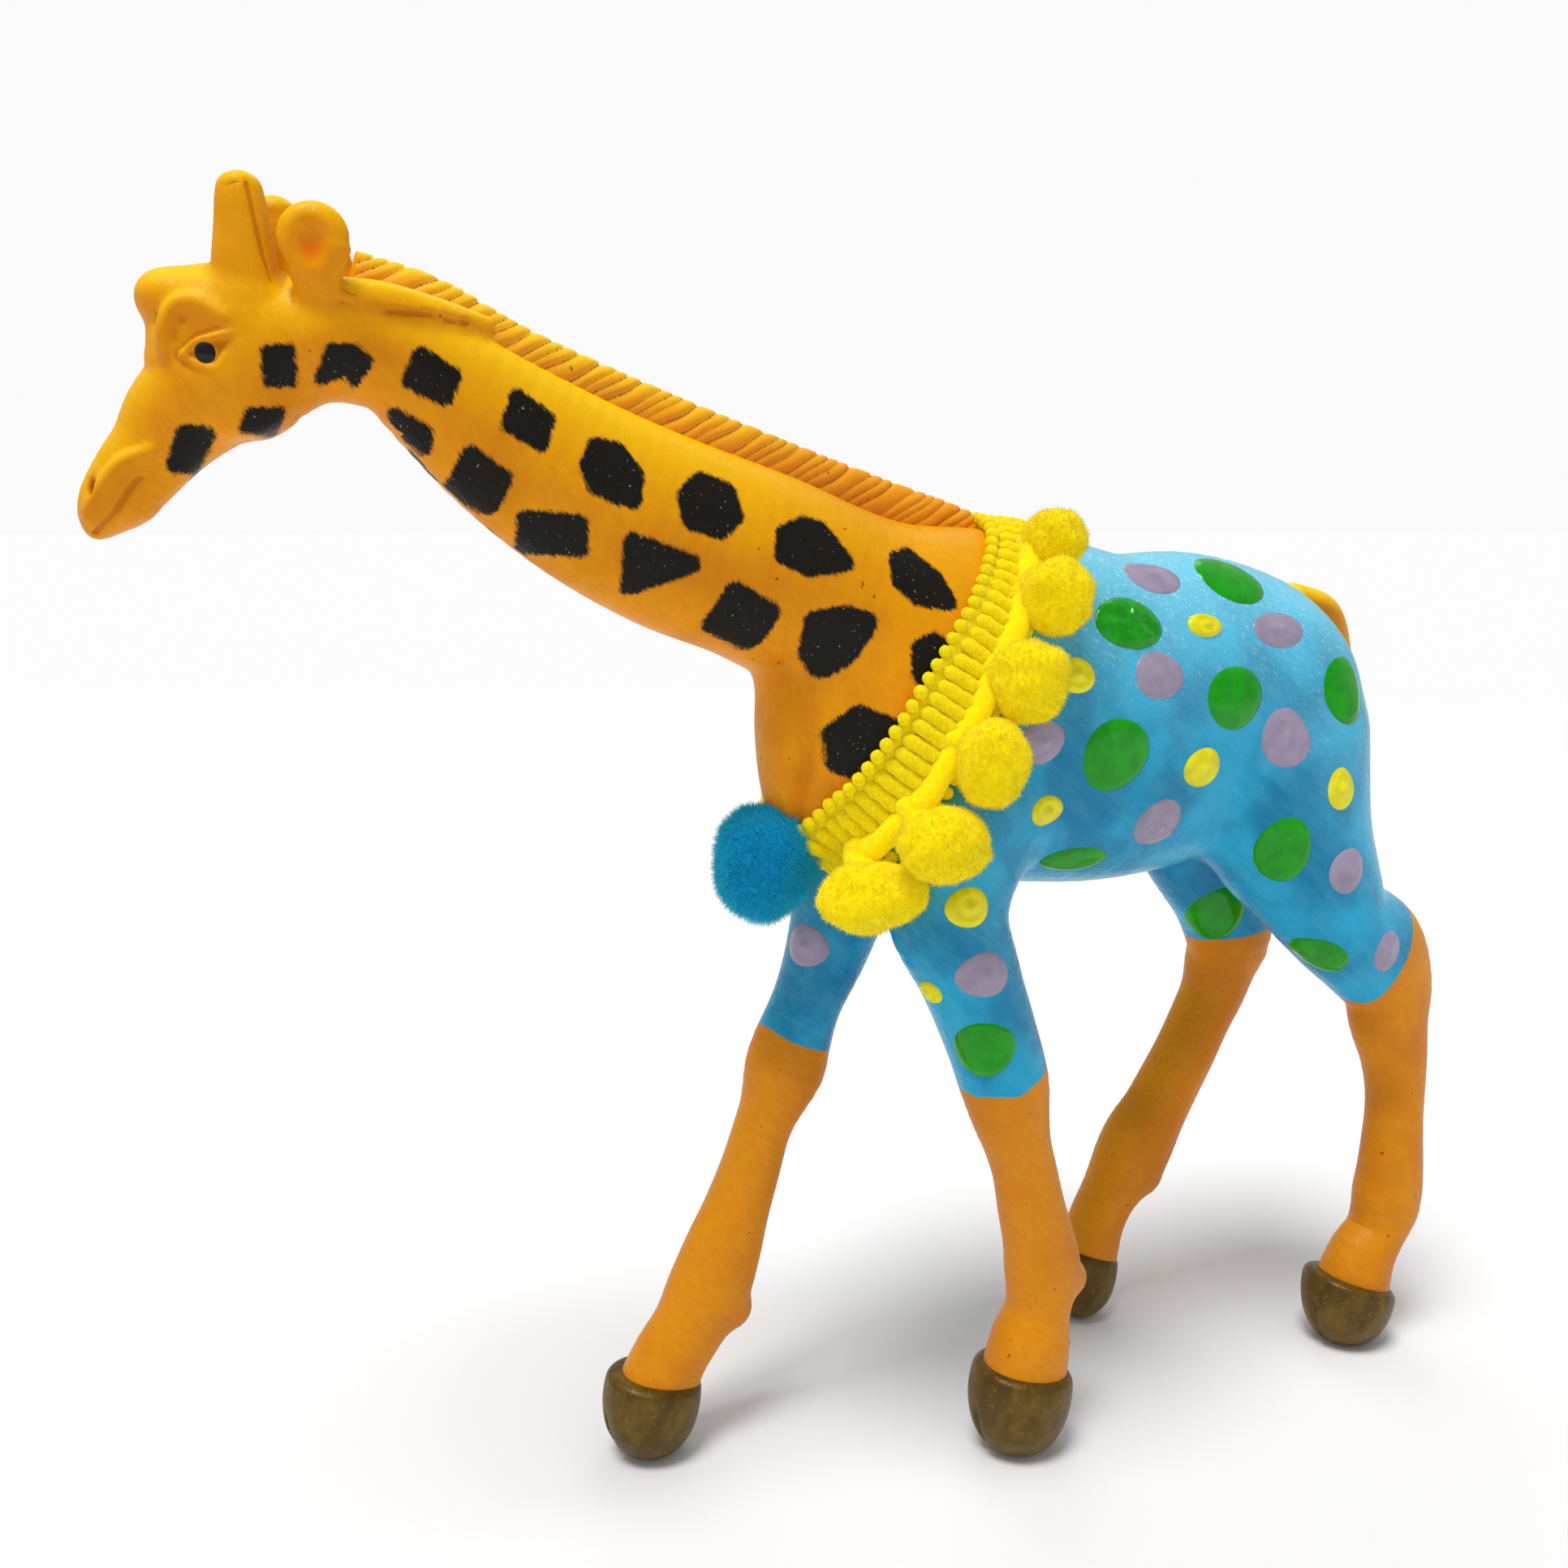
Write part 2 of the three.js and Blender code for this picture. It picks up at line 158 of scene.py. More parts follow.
class Field:
    """Signed distances to the sculpt on a regular grid: negative inside, in millimetres."""

    FAR = 50.0

    def __init__(self, low, high, step):
        self.low = np.array(low, float)
        self.step = step
        self.count = np.ceil((np.array(high) - self.low) / step).astype(int) + 1
        self.values = np.full(self.count, self.FAR, np.float32)

    def like(self, values):
        """Other values on the same grid."""
        other = copy.copy(self)
        other.values = values
        return other

    def places(self, first, last):
        """The x, y and z of the grid's points from one index corner up to another."""
        axes = [
            (self.low[k] + self.step * np.arange(first[k], last[k])).astype(np.float32)
            for k in range(3)
        ]
        return np.meshgrid(*axes, indexing="ij", sparse=True)

    def window(self, low, high):
        """The block of the grid between two corners, with the places of its points; it may be empty."""
        first = np.maximum(np.floor((np.array(low) - self.low) / self.step).astype(int), 0)
        last = np.minimum(np.ceil((np.array(high) - self.low) / self.step).astype(int) + 1, self.count)
        last = np.maximum(last, first)
        return tuple(slice(int(a), int(b)) for a, b in zip(first, last)), self.places(first, last)

    def merge(self, block, distance, soft):
        here = self.values[block]
        if soft <= 0:
            np.minimum(here, distance, out=here)
            return
        blend = np.maximum(soft - np.abs(here - distance), 0) / soft
        self.values[block] = np.minimum(here, distance) - blend * blend * soft * 0.25

    def carve(self, block, distance, soft):
        here = self.values[block]
        blend = np.maximum(soft - np.abs(here + distance), 0) / soft
        self.values[block] = np.maximum(here, -distance) + blend * blend * soft * 0.25

    def sample(self, points):
        """Trilinear reading at any places."""
        place = (np.asarray(points) - self.low) / self.step
        base = np.clip(np.floor(place).astype(int), 0, self.count - 2)
        part = np.clip(place - base, 0, 1)
        total = np.zeros(len(place))
        for corner in range(8):
            pick = np.array([(corner >> k) & 1 for k in range(3)])
            weight = np.prod(np.where(pick, part, 1 - part), axis=1)
            index = base + pick
            total += weight * self.values[index[:, 0], index[:, 1], index[:, 2]]
        return total


def smooth_path(rows, step):
    """A Catmull-Rom curve through rows of any width, in steps of about one length."""
    points = np.array(rows, float)
    padded = np.vstack([2 * points[0] - points[1], points, 2 * points[-1] - points[-2]])
    path = []
    for i in range(len(points) - 1):
        a, b, c, d = padded[i:i + 4]
        pieces = max(1, math.ceil(np.linalg.norm(c[:3] - b[:3]) / step))
        for j in range(pieces):
            t = j / pieces
            path.append(
                b + 0.5 * t * (c - a + t * (2 * a - 5 * b + 4 * c - d + t * (3 * (b - c) + d - a)))
            )
    path.append(points[-1])
    return np.array(path)


def ellipsoid_distance(across, along, depth, radii):
    first = np.sqrt((across / radii[0]) ** 2 + (along / radii[1]) ** 2 + (depth / radii[2]) ** 2)
    second = np.sqrt(
        (across / radii[0] ** 2) ** 2 + (along / radii[1] ** 2) ** 2 + (depth / radii[2] ** 2) ** 2
    )
    return first * (first - 1) / (second + 1e-9)


def ball(field, centre, radii, soft, axes=None, carve=False):
    """Adds or carves an ellipsoid; axes are the directions of its three radii."""
    reach = max(radii) + 4 + soft
    block, grid = field.window([c - reach for c in centre], [c + reach for c in centre])
    away = [grid[k] - centre[k] for k in range(3)]
    if axes is not None:
        away = [axis[0] * away[0] + axis[1] * away[1] + axis[2] * away[2] for axis in axes]
    distance = ellipsoid_distance(*away, radii).astype(np.float32)
    (field.carve if carve else field.merge)(block, distance, soft)


def limb(field, stations, soft, step=1.6, lateral=(1.0, 0.0, 0.0), carve=False, reach=5.0):
    """Adds or carves a chain of elliptic sections: x, y, z, half-width across, half-depth if it differs."""
    own = field.like(np.full_like(field.values, Field.FAR))
    path = smooth_path([(*row[:4], row[-1]) for row in stations], step)
    side = np.array(lateral)
    for start, end in zip(path[:-1], path[1:]):
        run = end[:3] - start[:3]
        length = np.linalg.norm(run)
        along = run / length
        across = side - along * (along @ side)
        across /= np.linalg.norm(across)
        depth = np.cross(along, across)
        margin = max(*start[3:], *end[3:]) + reach
        low, high = np.minimum(start[:3], end[:3]), np.maximum(start[:3], end[:3])
        block, grid = own.window(low - margin, high + margin)
        away = [grid[k] - start[k] for k in range(3)]
        travel, sideways, deep = (
            sum(away[k] * axis[k] for k in range(3)) for axis in (along, across, depth)
        )
        share = np.clip(travel / length, 0, 1)
        width, thick = (start[k] + (end[k] - start[k]) * share for k in (3, 4))
        radii = (width, thick, np.minimum(width, thick))
        distance = ellipsoid_distance(sideways, deep, travel - share * length, radii)
        own.merge(block, distance.astype(np.float32), 0)
    margin = path[:, 3:].max() + reach
    block = field.window(path[:, :3].min(0) - margin, path[:, :3].max(0) + margin)[0]
    (field.carve if carve else field.merge)(block, own.values[block], soft)


# ---- the giraffe's forms

TORSO = [
    (0, -33, 102, 7.5, 13), (0, -28, 104, 12.5, 20), (0, -18, 106.5, 15.5, 25), (0, -4, 107, 16.5, 25),
    (0, 12, 104.7, 17, 24.1), (0, 28, 105.4, 16.5, 23.4), (0, 42, 105.2, 14.5, 19.4),
    (0, 50.3, 101.3, 10.5, 13.2), (0, 54.8, 98.3, 7, 8.8),
]
NECK = [
    (-1.5, -95.5, 152.7, 5.2, 6.2), (-1.1, -88, 151.4, 5.4, 6.5), (-0.8, -82.5, 147.8, 5.8, 7.9),
    (-0.5, -75, 142.3, 6.6, 9.6), (-0.2, -65.5, 136.5, 7.6, 11), (0, -55, 131.6, 8.8, 11.9),
    (0, -43, 127.3, 10.4, 12.3), (0, -31, 121.5, 12, 13.6), (0, -20, 114, 13.5, 19),
]
BREAST = [
    (1, -38.4, 112, 5.5, 4.8), (1, -38.2, 106, 6.5, 5.0), (1, -37.9, 100, 6, 5), (0.5, -36.8, 94, 5, 4.4),
]
BREAST_FOLD = [
    (6.2, -43, 115, 0.7), (7.6, -40.2, 109, 1.1), (7.4, -39.6, 103, 1.2), (5.8, -40, 97, 1.0),
    (4.0, -39.4, 92.5, 0.6),
]
LEGS = {
    "front_right": [
        (-7.5, -22, 92, 7, 11), (-8.5, -25, 82, 6.4, 7.8), (-9.2, -28.2, 71.5, 5.7, 5.9),
        (-9.7, -30.9, 64.7, 4.9, 5.2), (-10, -33.2, 58.6, 5.2, 5.8), (-10.2, -34.2, 55, 5.3, 6),
        (-10.4, -36.2, 50, 4.6, 4.6), (-10.6, -37.7, 46.3, 4.2, 4.2), (-10.8, -39.7, 40, 4.2, 4.5),
        (-11, -41.8, 34.2, 4.5, 5), (-11, -44, 28.6, 4.8, 5.9), (-11, -46.4, 22.8, 4.9, 6.4),
        (-11, -49.4, 18, 4.8, 5.6), (-11, -52.4, 14, 5, 5.6), (-11, -54.4, 10, 5.2, 6),
    ],
    "front_left": [
        (8.5, -18, 93, 7.6, 12), (10, -20, 82, 7.6, 8.6), (11, -17, 73, 7, 7), (11.5, -13.6, 64, 6.4, 6.5),
        (12, -11.4, 57, 6, 6.3), (12, -10.2, 52, 5.5, 5.5), (12, -8.9, 47.5, 5, 4.7),
        (12, -7.3, 42.5, 4.8, 4.5), (12, -6, 37, 4.8, 4.8), (12, -4.6, 32, 4.9, 5.2),
        (12, -3.7, 27.5, 5, 5.7), (12, -3.9, 23.5, 4.8, 5), (12, -4.4, 20, 4.8, 4.7),
        (12, -5.4, 16.2, 5.3, 6), (12, -6.4, 11, 5.5, 6.6),
    ],
    "rear_right": [
        (-8.5, 40, 98, 8, 14), (-9, 42.2, 84, 7.5, 11.8), (-10, 48, 73, 6.5, 9.4), (-11, 51.5, 64, 6, 7.8),
        (-12, 51, 58.8, 5.4, 6.6), (-12.3, 49.8, 54, 5, 5.7), (-12.5, 47.4, 49.3, 4.8, 5.3),
        (-12.5, 44.3, 43.7, 4.7, 5.4), (-12.5, 41, 38.6, 4.7, 5.6), (-12.5, 38, 34, 4.7, 6),
        (-12.5, 35.2, 30, 4.9, 6.9), (-12.5, 32.8, 26, 4.9, 6.8), (-12.5, 29, 21, 4.5, 5),
        (-12.5, 26.4, 16.5, 4.5, 4.8), (-12.5, 24.8, 11, 4.7, 5.2),
    ],
    "rear_left": [
        (9, 40, 98, 8.5, 15), (10, 43.2, 88, 8.5, 12.8), (11, 47.3, 78.5, 8, 10.8),
        (12, 51.6, 71.8, 7.2, 8.8), (12.5, 59.2, 66, 6.4, 9.1), (12.8, 62.6, 60.5, 5.9, 7.7),
        (13, 63.3, 54.5, 5.5, 6.6), (13, 65, 48.5, 5.1, 5.3), (13, 66, 42.7, 4.8, 4.4),
        (13, 66.3, 38, 4.7, 4.2), (13, 66.4, 33, 4.8, 4.7), (13, 66.4, 28, 4.9, 5.4),
        (13, 66.1, 24, 5, 5.9), (13, 65.6, 20.8, 4.9, 5.4), (13, 63.8, 17.2, 4.7, 4.5),
        (13, 61.2, 14, 5, 5.4), (13, 59.6, 10, 5.4, 6.2),
    ],
}
# The fetlocks' rear points: place and radius.
SPURS = [
    ((-11, -42.4, 19), 2.7), ((12, 1.2, 24.4), 2.6),
    ((-12.5, 36.0, 22.4), 2.6), ((13, 69.2, 20.4), 2.4),
]
# Each hoof: place, half-width, height of the coronet in the middle, and its fall toward the heel.
HOOVES = {
    "front_right": ((-11, -55.4), 6.4, 12.2, 0.20),
    "front_left": ((12, -7.0), 6.9, 12.6, 0.20),
    "rear_right": ((-12.5, 23.6), 5.5, 12.2, 0.28),
    "rear_left": ((13, 58.6), 6.9, 10.6, 0.34),
}
TAIL = [
    (0, 50, 121.5, 3.2, 2.4), (-0.6, 57, 119, 3.4, 2.8), (-1.6, 62, 112.5, 2.6, 2.4),
    (-2.8, 65, 103, 2), (-3.4, 66, 92, 1.8), (-3.6, 65.8, 84, 2.3), (-3.6, 65.5, 78, 1.4),
]
# The head turns to the giraffe's right; its own places are (left, forward, up) from the pivot.
HEAD_PIVOT = np.array([-1.5, -94.3, 0.0])
HEAD_YAW = math.radians(20)
HEAD_LEFT = np.array([math.cos(HEAD_YAW), -math.sin(HEAD_YAW), 0.0])
HEAD_FORWARD = np.array([-math.sin(HEAD_YAW), -math.cos(HEAD_YAW), 0.0])
HEAD_AXES = (HEAD_LEFT, -HEAD_FORWARD, UP)
SKULL = [
    (0, -1.5, 153.6, 5, 5.2), (0, 2, 153, 5.6, 6.2), (0, 6.4, 152.0, 6.2, 7.8), (0, 10.9, 150.9, 6.4, 9.3),
    (0, 14.0, 147.2, 5.8, 6.6), (0, 17.3, 144.1, 4.9, 5.6), (0, 19.6, 141.1, 4.4, 4.7),
    (0, 22, 138.3, 4.2, 4.3), (0, 24.1, 135.8, 4, 3.7), (0, 25.6, 134.1, 3.4, 2.5),
]


def head_point(left, forward, up):
    return HEAD_PIVOT + HEAD_LEFT * left + HEAD_FORWARD * forward + UP * up


def head_chain(field, rows, soft, step=0.6, carve=False, side=1):
    """A limb given in the head's own places; side -1 mirrors it."""
    stations = [(*head_point(row[0] * side, *row[1:3]), *row[3:]) for row in rows]
    limb(field, stations, soft, step, HEAD_LEFT, carve, reach=1.5 + soft)


def head_ball(field, place, radii, soft, carve=False):
    ball(field, head_point(*place), radii, soft, HEAD_AXES, carve)


# The raised lower edge of the leaf-shaped lobe behind each ear: y, z.
NAPE_RIM = [
    (-95.2, 157.2), (-93.6, 156.6), (-91.4, 156.3), (-88.4, 156.2), (-85.4, 156.0), (-82.8, 155.8),
    (-80.6, 155.6),
]


def surface_x(field, side, y, z):
    """Where the surface lies across the figure at a height and a place along it; 0 if there is none."""
    across = np.linspace(9, 0, 181) * side
    inside = field.sample([(x, y, z) for x in across]) < 0
    return across[inside.argmax()] if inside.any() else 0.0


def sculpt_body(field):
    limb(field, TORSO, 0, 2.5)
    for side in (1, -1):
        ball(field, (8 * side, 41, 97.6), (9, 14.9, 22.6), 4)
        ball(field, (8.5 * side, -19, 104), (7.5, 12, 20), 4)
    limb(field, NECK, 3, 2.5)
    for stations in LEGS.values():
        limb(field, stations, 4, 2.0)
    for centre, radius in SPURS:
        ball(field, centre, (radius, radius, radius * 0.95), 2.2)
    limb(field, BREAST, 2, 1.5)
    limb(field, BREAST_FOLD, 1.6, 1.0, carve=True)
    for side in (1, -1):
        nape = [(2.6 * side - 1.4, -95, 157.0, 2.5, 2.1), (2.7 * side - 1.3, -90, 156.9, 2.6, 2.1),
                (2.3 * side - 1.1, -84, 156.0, 2.2, 1.8), (1.5 * side - 0.9, -78.0, 154.9, 1.3)]
        limb(field, nape, 1.6, 1.2)
        for drop, radius, carve in ((0.6, 0.32, True), (0.0, 0.36, False)):
            rim = [(surface_x(field, side, y, z - drop), y, z - drop, radius) for y, z in NAPE_RIM]
            limb(field, rim, 0.2, 0.8, carve=carve)


def sculpt_head(field):
    head_chain(field, SKULL, 1.2, 1.2)
    forehead = [(0, 17.5, 157.0, 3.9, 2.7), (0, 14.5, 156.9, 4.5, 3), (0, 9, 156, 5.2, 3.6)]
    head_chain(field, forehead, 2.6, 1.0)
    head_ball(field, (0, 16.9, 156.9), (4.0, 3.5, 2.9), 1.2)
    head_ball(field, (0, 25.9, 134.4), (3.4, 1.8, 2.9), 1.0)
    head_ball(field, (0, 26.6, 132.8), (2.2, 1.0, 1.5), 0.8)
    head_ball(field, (0, 22.9, 134.9), (2.9, 2.6, 1.7), 1.0)
    for side in (1, -1):
        sculpt_side_of_face(field, side)
        sculpt_ear(field, side)
    sculpt_horn(field, 3.0, 8.4, 167.7)
    sculpt_horn(field, -3.0, 6.2, 166.5)
    head_chain(field, [(-2.6, 15.8, 159.4, 0.8), (-2.6, 14.4, 160.7, 0.5, 0.4)], 0.6)


def sculpt_side_of_face(field, side):
    head_ball(field, (2.9 * side, 10.2, 147.8), (3.3, 5.9, 5.6), 1.6)
    brow = [(5.2, 16.6, 150.8, 0.4), (5.3, 16.6, 153.2, 0.75), (5.2, 15.4, 155.3, 0.85),
            (5.4, 13.2, 155.8, 0.75), (5.8, 10.4, 154.4, 0.4)]
    head_chain(field, brow, 1.3, side=side)
    head_ball(field, (6.9 * side, 12.9, 151.3), (1.0, 2.4, 1.9), 1.6, carve=True)
    head_ball(field, (4.6 * side, 12.3, 150.5), (1.75, 2.0, 1.7), 0.5)
    upper_lid = [(5.8, 14.6, 150.5, 0.3), (6.2, 13, 151.75, 0.4), (6.3, 11.2, 152.2, 0.42),
                 (6.2, 9.6, 152.6, 0.25)]
    lower_lid = [(5.8, 14.5, 150.2, 0.25), (6.15, 13, 149.3, 0.3), (6.2, 11.2, 149.1, 0.3),
                 (6.1, 10.2, 150.4, 0.22)]
    head_chain(field, upper_lid, 0.6, 0.4, side=side)
    head_chain(field, lower_lid, 0.6, 0.4, side=side)
    lip_fold = [(3.2, 26.2, 134.2, 0.5), (3.9, 24.5, 136.6, 0.75), (4.2, 22.2, 139.2, 0.8),
                (4.2, 19.2, 140.5, 0.5)]
    head_chain(field, lip_fold, 1.0, side=side)
    mouth = [(1.8, 26.2, 131.9, 0.3), (2.9, 24.9, 132.7, 0.38), (3.5, 23.5, 134.0, 0.38),
             (3.85, 21.6, 136.5, 0.38), (4.0, 20.6, 137.5, 0.34), (4.2, 19.4, 137.6, 0.22)]
    head_chain(field, mouth, 0.5, 0.4, True, side)
    head_ball(field, (3.4 * side, 25.6, 136.7), (0.8, 0.5, 1.0), 0.5, carve=True)


def sculpt_horn(field, left, forward, tip):
    rows = [(left, forward, 157, 2.6, 3.6), (left, forward, 160.5, 2.5, 3.4),
            (left, forward, 164, 2.25, 2.95), (left, forward + 0.1, tip - 1, 2.0, 2.6),
            (left, forward + 0.1, tip, 1.9, 2.4)]
    head_chain(field, rows, 0.9, 0.8)
    side = math.copysign(1, left)
    slit = [(left + 1.6 * side, forward - 1.0, tip + 0.4, 0.28),
            (left + 1.9 * side, forward - 1.6, tip - 2.5, 0.36),
            (left + 1.9 * side, forward - 2.3, tip - 6.4, 0.36),
            (left + 1.7 * side, forward - 3.0, tip - 9.4, 0.3)]
    head_chain(field, slit, 0.15, 0.3, carve=True)
    notch = [(left + 1.9 * side, forward + 1.9, tip - 0.1, 0.12),
             (left + 1.8 * side, forward - 0.9, tip + 0.6, 0.12)]
    head_chain(field, notch, 0.3, 0.3, carve=True)


def sculpt_ear(field, side):
    back, down = (0, 0) if side > 0 else (-1.6, 0.9)
    shape = [(4.2, 0.6 - back, 155.8, 1.0, 1.7), (5.3, 0.7 - back, 158.6 - down, 1.3, 2.7),
             (5.9, 0.4 - back, 161.6 - down, 1.4, 3.6)]
    head_chain(field, shape, 1.0, side=side)
    head_ball(field, (5.9 * side, 0.7 - back, 162.6 - down), (1.4, 3.75, 3.6), 0.4)
    head_ball(field, (8.25 * side, 0.9 - back, 161.7 - down), (1.8, 2.4, 2.9), 0.9, carve=True)


def ear_marks(places):
    """How near each point is to the middle of an ear's bowl."""
    marks = np.zeros(len(places))
    for side in (1, -1):
        middle = head_point(6.8 * side, 0.9, 161.2)
        marks = np.maximum(marks, np.exp(-(((places - middle) / 1.35) ** 2).sum(1)))
    return marks


def laplacian(field):
    """How strongly the surface bends at each grid point: positive on ridges, negative in creases."""
    values = field.values
    bend = np.zeros_like(values)
    inner = (slice(1, -1),) * 3
    bend[inner] = -6 * values[inner]
    for axis in range(3):
        for shift in (0, 2):
            near = [slice(1, -1)] * 3
            near[axis] = slice(shift, values.shape[axis] - 2 + shift)
            bend[inner] += values[tuple(near)]
    return field.like(bend / field.step ** 2)


def skin_of(field):
    """The surface of a field as points and quads, in sculpt millimetres."""
    band = 4 * field.step
    grid = openvdb.FloatGrid(background=band)
    grid.copyFromArray(np.clip(field.values, -band, band).astype(np.float32))
    points, quads = grid.convertToQuads(isovalue=0.0)
    points = points * field.step + field.low
    a, b, c = (points[quads[:, k]] for k in range(3))
    volume = np.einsum("ij,ij->i", a, np.cross(b, c)).sum()
    return points, (quads[:, ::-1] if volume < 0 else quads)


# ---- parting into pieces

COLLAR_TOP = np.array([0.0, -6.2, 134.5])
COLLAR_FOOT = np.array([0.0, -36.0, 91.0])
COLLAR_CENTRE = (COLLAR_TOP + COLLAR_FOOT) / 2
COLLAR_DOWN = (COLLAR_FOOT - COLLAR_TOP) / np.linalg.norm(COLLAR_FOOT - COLLAR_TOP)
COLLAR_AXIS = np.cross(COLLAR_DOWN, (1.0, 0.0, 0.0))
HEAD_SEAM = HEAD_PIVOT + UP * 151.0
HEAD_SEAM_AXIS = np.array([0, -0.97, 0.24]) / math.hypot(0.97, 0.24)
LEG_TOP_Z = 80.0
LEG_FOOT_Z = 6.4
# Between the fore legs and the hind legs.
LEG_SPLIT_Y = 10.0


def cut_piece(points, quads, planes):
    """The part of a skin on the near side of each plane (place, outward direction), closed."""
    mesh = bmesh.new()
    made = [mesh.verts.new(p) for p in points]
    for quad in quads:
        mesh.faces.new([made[i] for i in quad])
    for place, outward in planes:
        everything = mesh.verts[:] + mesh.edges[:] + mesh.faces[:]
        result = bmesh.ops.bisect_plane(
            mesh, geom=everything, dist=1e-5, plane_co=place, plane_no=outward, clear_outer=True
        )
        rim = [e for e in result["geom_cut"] if isinstance(e, bmesh.types.BMEdge) and e.is_boundary]
        bmesh.ops.holes_fill(mesh, edges=rim, sides=0)
        for edge in rim:
            edge.smooth = False
    loose = [v for v in mesh.verts if not v.link_faces]
    bmesh.ops.delete(mesh, geom=loose, context="VERTS")
    bmesh.ops.recalc_face_normals(mesh, faces=mesh.faces)
    return mesh


def finish_piece(mesh, name, slot, nodes, material):
    """Turns a bmesh in sculpt millimetres into a piece of the figure."""
    for vert in mesh.verts:
        vert.co = (vert.co + Vector(SHIFT)) * MM
    data = bpy.data.meshes.new(name)
    mesh.to_mesh(data)
    mesh.free()
    data.shade_smooth()
    return place_piece(data, name, slot, nodes, material)


def place_piece(data, name, slot, nodes, material):
    piece = bpy.data.objects.new(name, data)
    bpy.context.collection.objects.link(piece)
    data.materials.append(material)
    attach(piece, "root")
    if nodes:
        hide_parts(*nodes)
    return piece


def mesh_piece(name, points, faces, slot, nodes, material):
    """A piece from points in sculpt millimetres and lists of corners."""
    data = bpy.data.meshes.new(name)
    data.from_pydata(to_frame(points).tolist(), [], [list(face) for face in faces])
    data.shade_smooth()
    return place_piece(data, name, slot, nodes, material)


def set_marks(piece, name, values):
    layer = piece.data.attributes.new(name, "FLOAT", "POINT")
    layer.data.foreach_set("value", np.asarray(values, np.float32))


def set_top_light_marks(piece, field, places):
    """How much each point faces upward: painted light lightens the coat there, less so on the legs."""
    reach = 0.6 * UP
    rise = (field.sample(places + reach) - field.sample(places - reach)) / (2 * reach[2])
    share = np.clip((places[:, 2] - 60) / 40, 0.1, 1)
    ahead = (places - COLLAR_CENTRE) @ COLLAR_AXIS > 0
    share = np.where(ahead, share * np.clip((-15 - places[:, 1]) / 50, 0.3, 1), share)
    set_marks(piece, "top_light", share * np.clip((rise + 0.1) / 0.9, 0, 1) ** 1.1)


def places_of(piece):
    """A piece's points in sculpt millimetres."""
    flat = np.empty(len(piece.data.vertices) * 3, np.float32)
    piece.data.vertices.foreach_get("co", flat)
    return flat.reshape(-1, 3) / MM - SHIFT


def skin_piece(name, sculpted, planes, slot, nodes, material):
    """A piece of a sculpted field's skin, with the marks that its paint reads."""
    field, skin, bend = sculpted
    piece = finish_piece(cut_piece(*skin, planes), name, slot, nodes, material)
    places = places_of(piece)
    set_marks(piece, "bend", bend.sample(places))
    set_top_light_marks(piece, field, places)
    for mark, measure in (("patch", patch_marks), ("suit", suit_marks), ("bowl", ear_marks)):
        set_marks(piece, mark, measure(places))


# ---- painted patches

# Outlines of the dabbed patches, on a square from -1 to 1: forward is -x, up is y.
OUTLINES = {
    "square": [(-0.9, 0.8), (0.8, 0.95), (0.95, -0.8), (-0.75, -0.9)],
    "lean": [(-0.35, 1.0), (1.0, 0.8), (0.2, -0.9), (-1.0, -0.8)],
    "slab": [(-0.7, 0.75), (1.0, 0.9), (0.75, -0.8), (-1.0, -0.6)],
    "notch": [(-0.6, 0.9), (0.35, 1.0), (1.0, 0.35), (0.5, -0.9), (0.1, -0.3), (-1.0, -0.85)],
    "diamond": [(-0.45, 1.0), (1.0, 0.1), (0.55, -1.0), (-1.0, -0.25)],
    "pentagon": [(-0.55, 0.95), (0.35, 0.8), (1.0, -0.1), (0.8, -1.0), (-0.75, -0.45), (-1.0, 0.2)],
    "round": [(-0.2, 1.0), (0.8, 0.6), (0.95, -0.4), (0.3, -1.0), (-0.8, -0.6), (-0.95, 0.4)],
    "drop": [(-0.75, 0.55), (-0.1, 0.95), (0.4, 0.75), (1.0, -0.75), (-0.1, -1.0), (-0.85, -0.4)],
    "leaf": [(-0.9, 0.8), (-0.2, 1.0), (0.75, 0.0), (1.0, -1.0), (-0.3, -0.75), (-0.95, 0.0)],
    "bow": [(-1.0, 0.9), (0.0, 0.35), (0.9, -0.1), (0.95, -1.0), (0.1, -0.35), (-0.8, 0.4)],
    "wing": [(-1.0, 0.4), (0.3, 1.0), (1.0, -0.1), (-0.2, -1.0)],
    "block": [(-1.0, 0.95), (0.9, 0.7), (1.0, -0.9), (-0.8, -0.75)],
    "flag": [(-1.0, 1.0), (1.0, 0.0), (-0.9, -1.0)],
    "shield": [(-0.9, 0.7), (0.2, 0.85), (1.0, 0.6), (0.35, -0.5), (-0.35, -1.0), (-0.85, -0.3)],
}
# Each patch: outline, y, z, half-width, half-height, on one side of the neck and head.
LEFT_PATCHES = [
    ("square", -100.9, 149.4, 1.9, 2.3), ("slab", -102.6, 143.7, 2.3, 1.7),
    ("lean", -109.7, 140.7, 2.4, 2.6), ("notch", -94.3, 149.7, 2.8, 2.2),
    ("diamond", -85.2, 148.8, 3.0, 3.0), ("diamond", -74.8, 144.4, 3.0, 3.3),
    ("pentagon", -65.4, 138.7, 3.7, 4.0), ("round", -53.6, 135.0, 4.1, 3.8),
    ("drop", -40.9, 130.2, 5.4, 3.6), ("leaf", -25.8, 126.0, 4.2, 3.8),
    ("bow", -87.2, 143.1, 2.2, 2.5), ("diamond", -80.1, 137.7, 3.2, 3.6),
    ("block", -72.0, 131.7, 3.8, 2.7), ("flag", -59.6, 128.2, 4.4, 3.5),
    ("diamond", -49.2, 121.8, 4.2, 4.1), ("shield", -37.3, 118.6, 4.6, 4.6),
    ("leaf", -24.6, 114.4, 3.8, 4.8), ("round", -33.7, 105.2, 4.4, 4.9),
]
